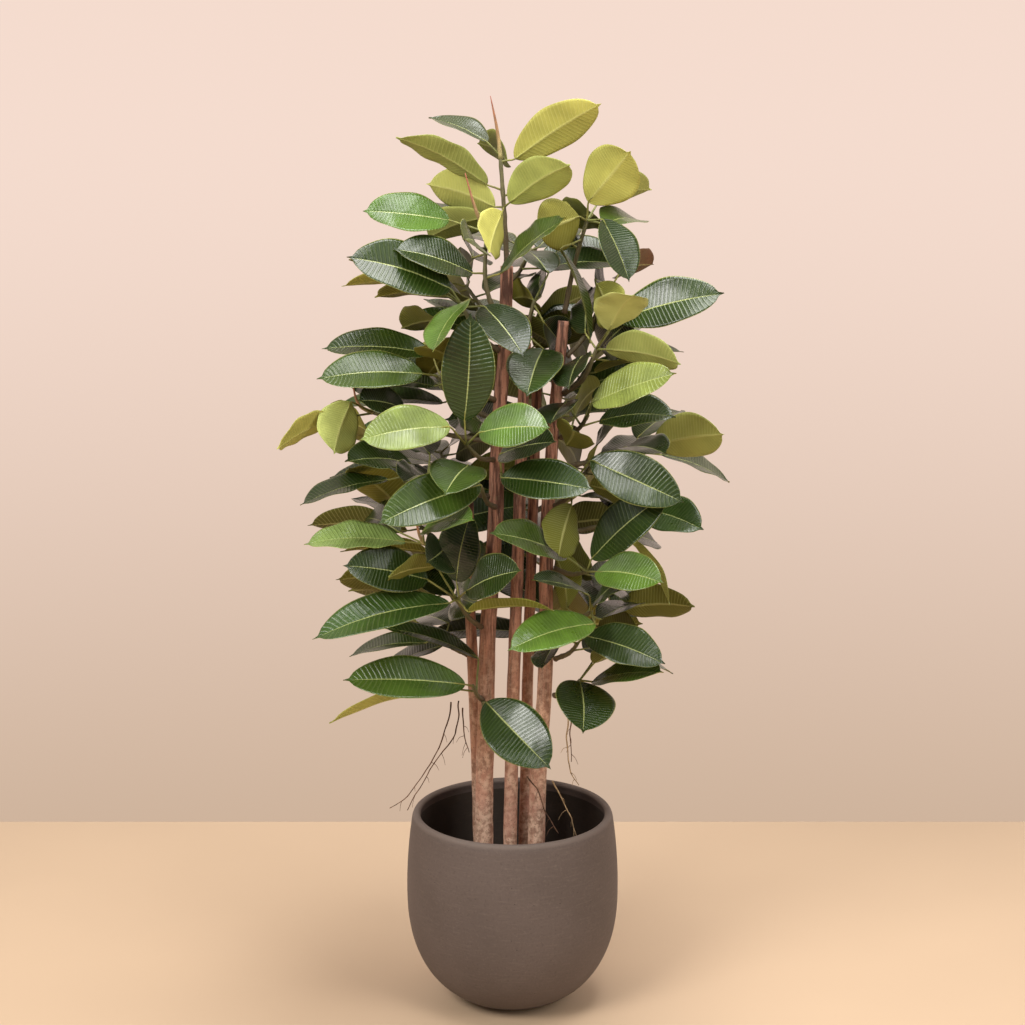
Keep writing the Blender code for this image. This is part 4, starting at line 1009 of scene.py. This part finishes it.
def add_tube(sheet, path, radii, tone, sides=8, knots=0.0, seed=0.0):
    """A round tube with closed ends, its skin roughened by knots."""
    rings = []
    reference = Vector((0.31, 0.83, 0.46))
    for k, place in enumerate(path):
        run = (path[min(k + 1, len(path) - 1)] - path[max(k - 1, 0)]).normalized()
        across = run.cross(reference).normalized()
        upright = across.cross(run)
        ring = []
        for c in range(sides):
            angle = math.tau * c / sides
            out = across * math.cos(angle) + upright * math.sin(angle)
            skin = radii[k]
            if knots:
                skin *= 1 + knots * noise.noise((place + out * 0.02) * 90 + Vector((seed, 0, 0)))
            tint = tone[k] if isinstance(tone, list) else tone
            ring.append(sheet.point(place + out * skin, 0.0, k / len(path), tint, tint))
        rings.append(ring)
    for low, high in zip(rings, rings[1:]):
        for c in range(sides):
            n = (c + 1) % sides
            sheet.face((low[c], low[n], high[n], high[c]))
    sheet.face(list(reversed(rings[0])))
    sheet.face(rings[-1])


def stalk_path(leaf):
    """The stalk from the twig into the blade's midrib, in one easy bend."""
    into = leaf.middle(0.10) - leaf.face * BLADE_THICKNESS
    points = [leaf.root, leaf.root.lerp(leaf.base, 0.5), leaf.base - leaf.face * 0.0006, into]
    return smooth_path(points, 3)


def shade_towards(first, second, count):
    return [tuple(a + (b - a) * k / (count - 1) for a, b in zip(first, second))
            for k in range(count)]


# ---------------------------------------------------------------- pieces
def hand_over(piece, slot, *nodes):
    """Says what a piece rides on and stands for; its slot is not used."""
    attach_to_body(piece, "root")
    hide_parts(*nodes)


def dress_shoots(materials):
    shoots = all_shoots()
    twigs = {}
    for name, (points, _) in shoots.items():
        path = smooth_path(points, 2)
        mesh = tube_mesh(name + "_guide", path, tapered(path, TWIG_FOOT_RADIUS, TWIG_TIP_RADIUS))
        twigs[name] = (mesh, path)
    stems = {}
    for name, (points, foot, top) in STEMS.items():
        path = smooth_path(points, 3)
        stems[name] = tube_mesh(name + "_guide", path, tapered(path, foot, top), 3)
    settled = lay_out(shoots, twigs, stems)
    for name, leaves in settled.items():
        chance = random.Random(name)
        blades, wood = Sheet(), Sheet()
        for leaf in leaves:
            add_blade(blades, leaf, chance)
            path = stalk_path(leaf)
            radii = tapered(path, STALK_RADIUS, STALK_RADIUS * 0.55)
            stalk = vary(STALK_GREEN, chance)
            foot = tuple(c * 0.62 for c in stalk)
            add_tube(wood, path, radii, shade_towards(foot, stalk, len(path)), 8, 0.10)
        add_twig(wood, name, shoots[name][0], chance)
        hand_over(blades.build(name + "_leaves", materials["leaf"]), "leaf", name)
        hand_over(wood.build(name + "_twig", materials["twig"]), "leaf", name)
    for mesh in (*stems.values(), *(mesh for mesh, _ in twigs.values())):
        bpy.data.meshes.remove(mesh)


def add_twig(sheet, name, points, chance):
    """The twig, brown at its foot and greener at its tip, with ringed nodes, and its bud."""
    path = smooth_path(points, 9)
    radii = tapered(path, TWIG_FOOT_RADIUS, TWIG_TIP_RADIUS)
    radii = [r * (1 + 0.16 * max(0.0, math.cos(k * 1.57)) ** 6) for k, r in enumerate(radii)]
    tip = (0.160, 0.150, 0.060)
    add_tube(sheet, path, radii, shade_towards(TWIG_BROWN, tip, len(path)), 10, 0.16, chance.random() * 9)
    if name in BUDS:
        path = smooth_path(BUDS[name], 6)
        radii = [BUD_RADIUS * (1 - (k / (len(path) - 1)) ** 1.6) + 0.0006 for k in range(len(path))]
        add_tube(sheet, path, radii, shade_towards((0.45, 0.40, 0.16), BUD_RED, len(path)), 10, 0.05)


def dress_stems(material):
    for order, (name, (points, foot, top)) in enumerate(STEMS.items()):
        path = smooth_path(points, 22)
        radii = tapered(path, foot, top)
        sheet = Sheet()
        sides = 28
        for k, radius in enumerate(radii):
            swell = noise.noise(Vector((order * 7.1, 0, path[k].z * 9)))
            radii[k] = radius * (0.955 + 0.045 * swell)
        add_tube(sheet, path, radii, (0, 0, 0), sides, 0.0)
        piece = sheet.build(name + "_bark", [material])
        roughen(piece.data, path, order)
        hand_over(piece, "bark", name)


def roughen(mesh, path, order):
    """Lengthwise ridges, shallow hollows and a few knots in the bark."""
    for vertex in mesh.vertices:
        place = vertex.co.copy()
        centre = nearest_on_path(path, place)
        out = place - centre
        if out.length < 1e-6:
            continue
        out.normalize()
        ridge = noise.noise(Vector((place.x * 160, place.y * 160, place.z * 14 + order * 3)))
        hollow = noise.noise(Vector((place.x * 45, place.y * 45, place.z * 22 + order * 5)))
        vertex.co += out * (0.0007 * ridge + 0.0008 * hollow)


def lathe(name, outline, steps, materials, slots):
    """A turned skin from (radius, height) pairs; slots gives each stretch's material."""
    sheet = Sheet()
    rings = []
    for radius, height in outline:
        if radius == 0:
            rings.append([sheet.point(Vector((0, 0, height)))] * steps)
            continue
        rings.append([sheet.point(Vector((radius * math.cos(math.tau * k / steps),
                                          radius * math.sin(math.tau * k / steps), height)))
                      for k in range(steps)])
    for r in range(len(rings)):
        low, high = rings[r], rings[(r + 1) % len(rings)]
        if outline[r][0] == 0 and outline[(r + 1) % len(rings)][0] == 0:
            continue
        for k in range(steps):
            n = (k + 1) % steps
            corners = list(dict.fromkeys((low[k], high[k], high[n], low[n])))
            sheet.face(corners, slots(r))
    return sheet.build(name, materials)


def dress_planter(outside, inside):
    """The planter's fine skin: the CAD profile with a point every few millimetres."""
    lip_radius = WALL / 2
    lip_centre = MOUTH_RADIUS - lip_radius

    def lip(first, last, count):
        angles = [math.radians(first + (last - first) * k / (count - 1)) for k in range(count)]
        return [(lip_centre + lip_radius * math.cos(a),
                 PLANTER_HEIGHT - lip_radius + lip_radius * math.sin(a)) for a in angles]

    top = PLANTER_HEIGHT - 0.010
    heights = [top + (0.012 - top) * k / 46 for k in range(47)]
    outer = [(bowl_radius(z), z) for z in heights]
    low = 0.034
    inner_heights = [low + (top - low) * k / 30 for k in range(31)]
    inner = [(inner_radius(z), z) for z in inner_heights]
    foot = [(FOOT_RADIUS + 0.006, 0.004), (FOOT_RADIUS + 0.0015, 0.0006), (FOOT_RADIUS, 0.0),
            (FOOT_RADIUS * 0.5, 0.0), (0.0, 0.0)]
    floor = [(0.0, FLOOR_THICKNESS), (FOOT_RADIUS, FLOOR_THICKNESS)]
    first_inner = 5 + len(outer) + len(foot)
    outline = lip(90, 5, 6)[:5] + outer + foot + floor + inner + lip(175, 105, 5)
    # The inner wall and floor take the second material, a darker copy of the clay that is painted shade.
    piece = lathe("planter_shell", outline, 128, [outside, inside],
                  lambda r: 1 if first_inner <= r < first_inner + len(floor) + len(inner) - 2 else 0)
    hand_over(piece, "planter_clay", "planter")


def dress_soil(material):
    """Soil with a crumbly top that sinks a little towards the wall."""
    rings, steps = 34, 96
    edge = SOIL_TOP - 0.012
    rim = inner_radius(edge) - 0.001
    sheet = Sheet()
    grid = []
    for r in range(rings + 1):
        radius = rim * r / rings
        row = []
        for k in range(steps):
            angle = math.tau * k / steps
            place = Vector((radius * math.cos(angle), radius * math.sin(angle), 0))
            crumb = noise.fractal(place * 75, 0.9, 2.1, 4) * 0.0035 + noise.noise(place * 16) * 0.004
            fade = 1 - (radius / rim) ** 8
            place.z = SOIL_TOP - 0.006 - 0.006 * (radius / rim) ** 3 + crumb * fade
            row.append(sheet.point(place))
        grid.append(row)
    for r in range(rings):
        for k in range(steps):
            n = (k + 1) % steps
            if r == 0:
                if k % 2 == 0:
                    continue
            sheet.face((grid[r][k], grid[r + 1][k], grid[r + 1][n], grid[r][n]))
    low = []
    for z in (0.165, 0.115, 0.07, SOIL_FOOT + 0.006):
        low.append([sheet.point(Vector(((inner_radius(z) - 0.002) * math.cos(math.tau * k / steps),
                                        (inner_radius(z) - 0.002) * math.sin(math.tau * k / steps), z)))
                    for k in range(steps)])
    for upper, lower in zip([grid[-1], *low], low):
        for k in range(steps):
            n = (k + 1) % steps
            sheet.face((upper[k], lower[k], lower[n], upper[n]))
    sheet.face(list(reversed(low[-1])))
    hand_over(sheet.build("soil_bed", [material]), "soil", "soil")


def dress_air_roots(brown, pale):
    for order, (name, points) in enumerate(AIR_ROOTS.items()):
        chance = random.Random(name)
        path = smooth_path(points, 10)
        for k, place in enumerate(path[1:], 1):
            path[k] = place + noise.noise_vector(place * 42 + Vector((order, 0, 0))) * 0.0022
        radii = tapered(path, ROOT_RADIUS * 1.15, ROOT_RADIUS * 0.55)
        sheet = Sheet()
        add_tube(sheet, path, radii, (0, 0, 0), 8, 0.35, order)
        for share in (0.35, 0.55, 0.72, 0.86):
            start = path[int(share * (len(path) - 1))]
            way = Vector((chance.uniform(-1, 1), chance.uniform(-1, 1), chance.uniform(-1.2, -0.2)))
            hair = smooth_path([start, start + way * 0.010, start + way * 0.016 - UP * 0.007], 3)
            add_tube(sheet, hair, tapered(hair, 0.0006, 0.0003), (0, 0, 0), 5)
        material = pale if name in ("air_root_pale", "air_root_right_outer") else brown
        hand_over(sheet.build(name + "_strand", [material]), "air_root", name)


# ---------------------------------------------------------------- studio
FLOOR_END = 0.92              # how far the floor reaches behind the planter
FLOOR_SIZE = 9
BACKDROP_HIGH = (0.910, 0.715, 0.620)
BACKDROP_LOW = (0.560, 0.400, 0.275)
STUDIO_AIR = (0.300, 0.285, 0.265)
VIEW_DISTANCE = 4.0
VIEW_HEIGHT = 1.855
VIEW_DOWN = math.radians(12.78)
LENS = 78.5


def add_plane(name, size, location, rotation, material):
    mesh = bpy.data.meshes.new(name)
    shape = bmesh.new()
    bmesh.ops.create_grid(shape, x_segments=1, y_segments=1, size=size / 2)
    shape.to_mesh(mesh)
    shape.free()
    mesh.materials.append(material)
    plane = bpy.data.objects.new(name, mesh)
    bpy.context.scene.collection.objects.link(plane)
    plane.location = location
    plane.rotation_euler = rotation


def add_softbox(name, location, target, size, power, colour):
    light = bpy.data.lights.new(name, "AREA")
    light.shape = "RECTANGLE"
    light.size, light.size_y = size
    light.energy = power
    light.color = colour
    lamp = bpy.data.objects.new(name, light)
    bpy.context.scene.collection.objects.link(lamp)
    lamp.location = location
    lamp.rotation_euler = (Vector(target) - Vector(location)).to_track_quat("-Z", "Y").to_euler()


def set_air():
    """Soft light from all round: dim from the front, a bright plain backdrop behind."""
    world = bpy.data.worlds.new("studio_air")
    world.use_nodes = True
    nodes, links = world.node_tree.nodes, world.node_tree.links
    parts = nodes.new("ShaderNodeSeparateXYZ")
    links.new(nodes.new("ShaderNodeTexCoord").outputs["Generated"], parts.inputs[0])

    def blend(axis, start, end, first, second):
        share = nodes.new("ShaderNodeMapRange")
        share.interpolation_type = "SMOOTHSTEP"
        links.new(parts.outputs[axis], share.inputs["Value"])
        share.inputs["From Min"].default_value = start
        share.inputs["From Max"].default_value = end
        mixed = nodes.new("ShaderNodeMix")
        mixed.data_type = "RGBA"
        links.new(share.outputs["Result"], mixed.inputs[0])
        for colour, socket in ((first, mixed.inputs[6]), (second, mixed.inputs[7])):
            if isinstance(colour, tuple):
                socket.default_value = (*colour, 1)
            else:
                links.new(colour, socket)
        return mixed.outputs[2]

    backdrop = blend("Z", -0.46, -0.04, BACKDROP_LOW, BACKDROP_HIGH)
    links.new(blend("Y", -0.2, 0.75, STUDIO_AIR, backdrop), nodes["Background"].inputs[0])
    bpy.context.scene.world = world


def set_studio():
    floor = studio_paint("studio_floor", (0.56, 0.410, 0.275), 0.65)
    add_plane("studio_floor", FLOOR_SIZE, (0, FLOOR_END - FLOOR_SIZE / 2, 0), (0, 0, 0), floor)
    set_air()
    add_softbox("key", (-2.4, -2.9, 3.6), (0, 0, 0.9), (1.7, 1.7), 158, (1.0, 0.975, 0.94))
    add_softbox("fill", (2.9, -2.6, 2.9), (0, 0, 1.0), (1.8, 2.2), 74, (1.0, 0.97, 0.94))
    add_softbox("overhead", (0.4, -0.1, 3.7), (0, 0, 0.9), (2.6, 1.4), 112, (1.0, 0.985, 0.96))


def set_camera():
    data = bpy.data.cameras.new("camera")
    data.lens = LENS
    data.sensor_width = 36.0
    camera = bpy.data.objects.new("camera", data)
    bpy.context.scene.collection.objects.link(camera)
    camera.location = (0, -VIEW_DISTANCE, VIEW_HEIGHT)
    camera.rotation_euler = (math.radians(90) - VIEW_DOWN, 0, 0)
    bpy.context.scene.camera = camera
    bpy.context.scene.view_settings.view_transform = "Standard"


# ---------------------------------------------------------------- the whole
def main():
    set_camera()
    set_studio()
    clay = planter_clay("planter_clay", (0.116, 0.087, 0.076), (0.098, 0.073, 0.063), (0.185, 0.142, 0.120))
    # The inside is the same clay with its colours darkened to less than half: painted shade for the inner wall
    # and floor, which lie in shadow.
    dim = planter_clay("planter_inside_painted_shade", (0.052, 0.036, 0.026), (0.026, 0.018, 0.013), (0.095, 0.068, 0.050))
    dress_planter(clay, dim)
    dress_soil(potting_soil())
    dress_stems(bark())
    dress_shoots({"leaf": [leaf_upper(), leaf_under()], "twig": [twig_wood()]})
    dress_air_roots(dry_root("root_brown", (0.180, 0.085, 0.045), (0.060, 0.028, 0.016)),
                    dry_root("root_pale", (0.480, 0.330, 0.180), (0.260, 0.160, 0.080)))


main()
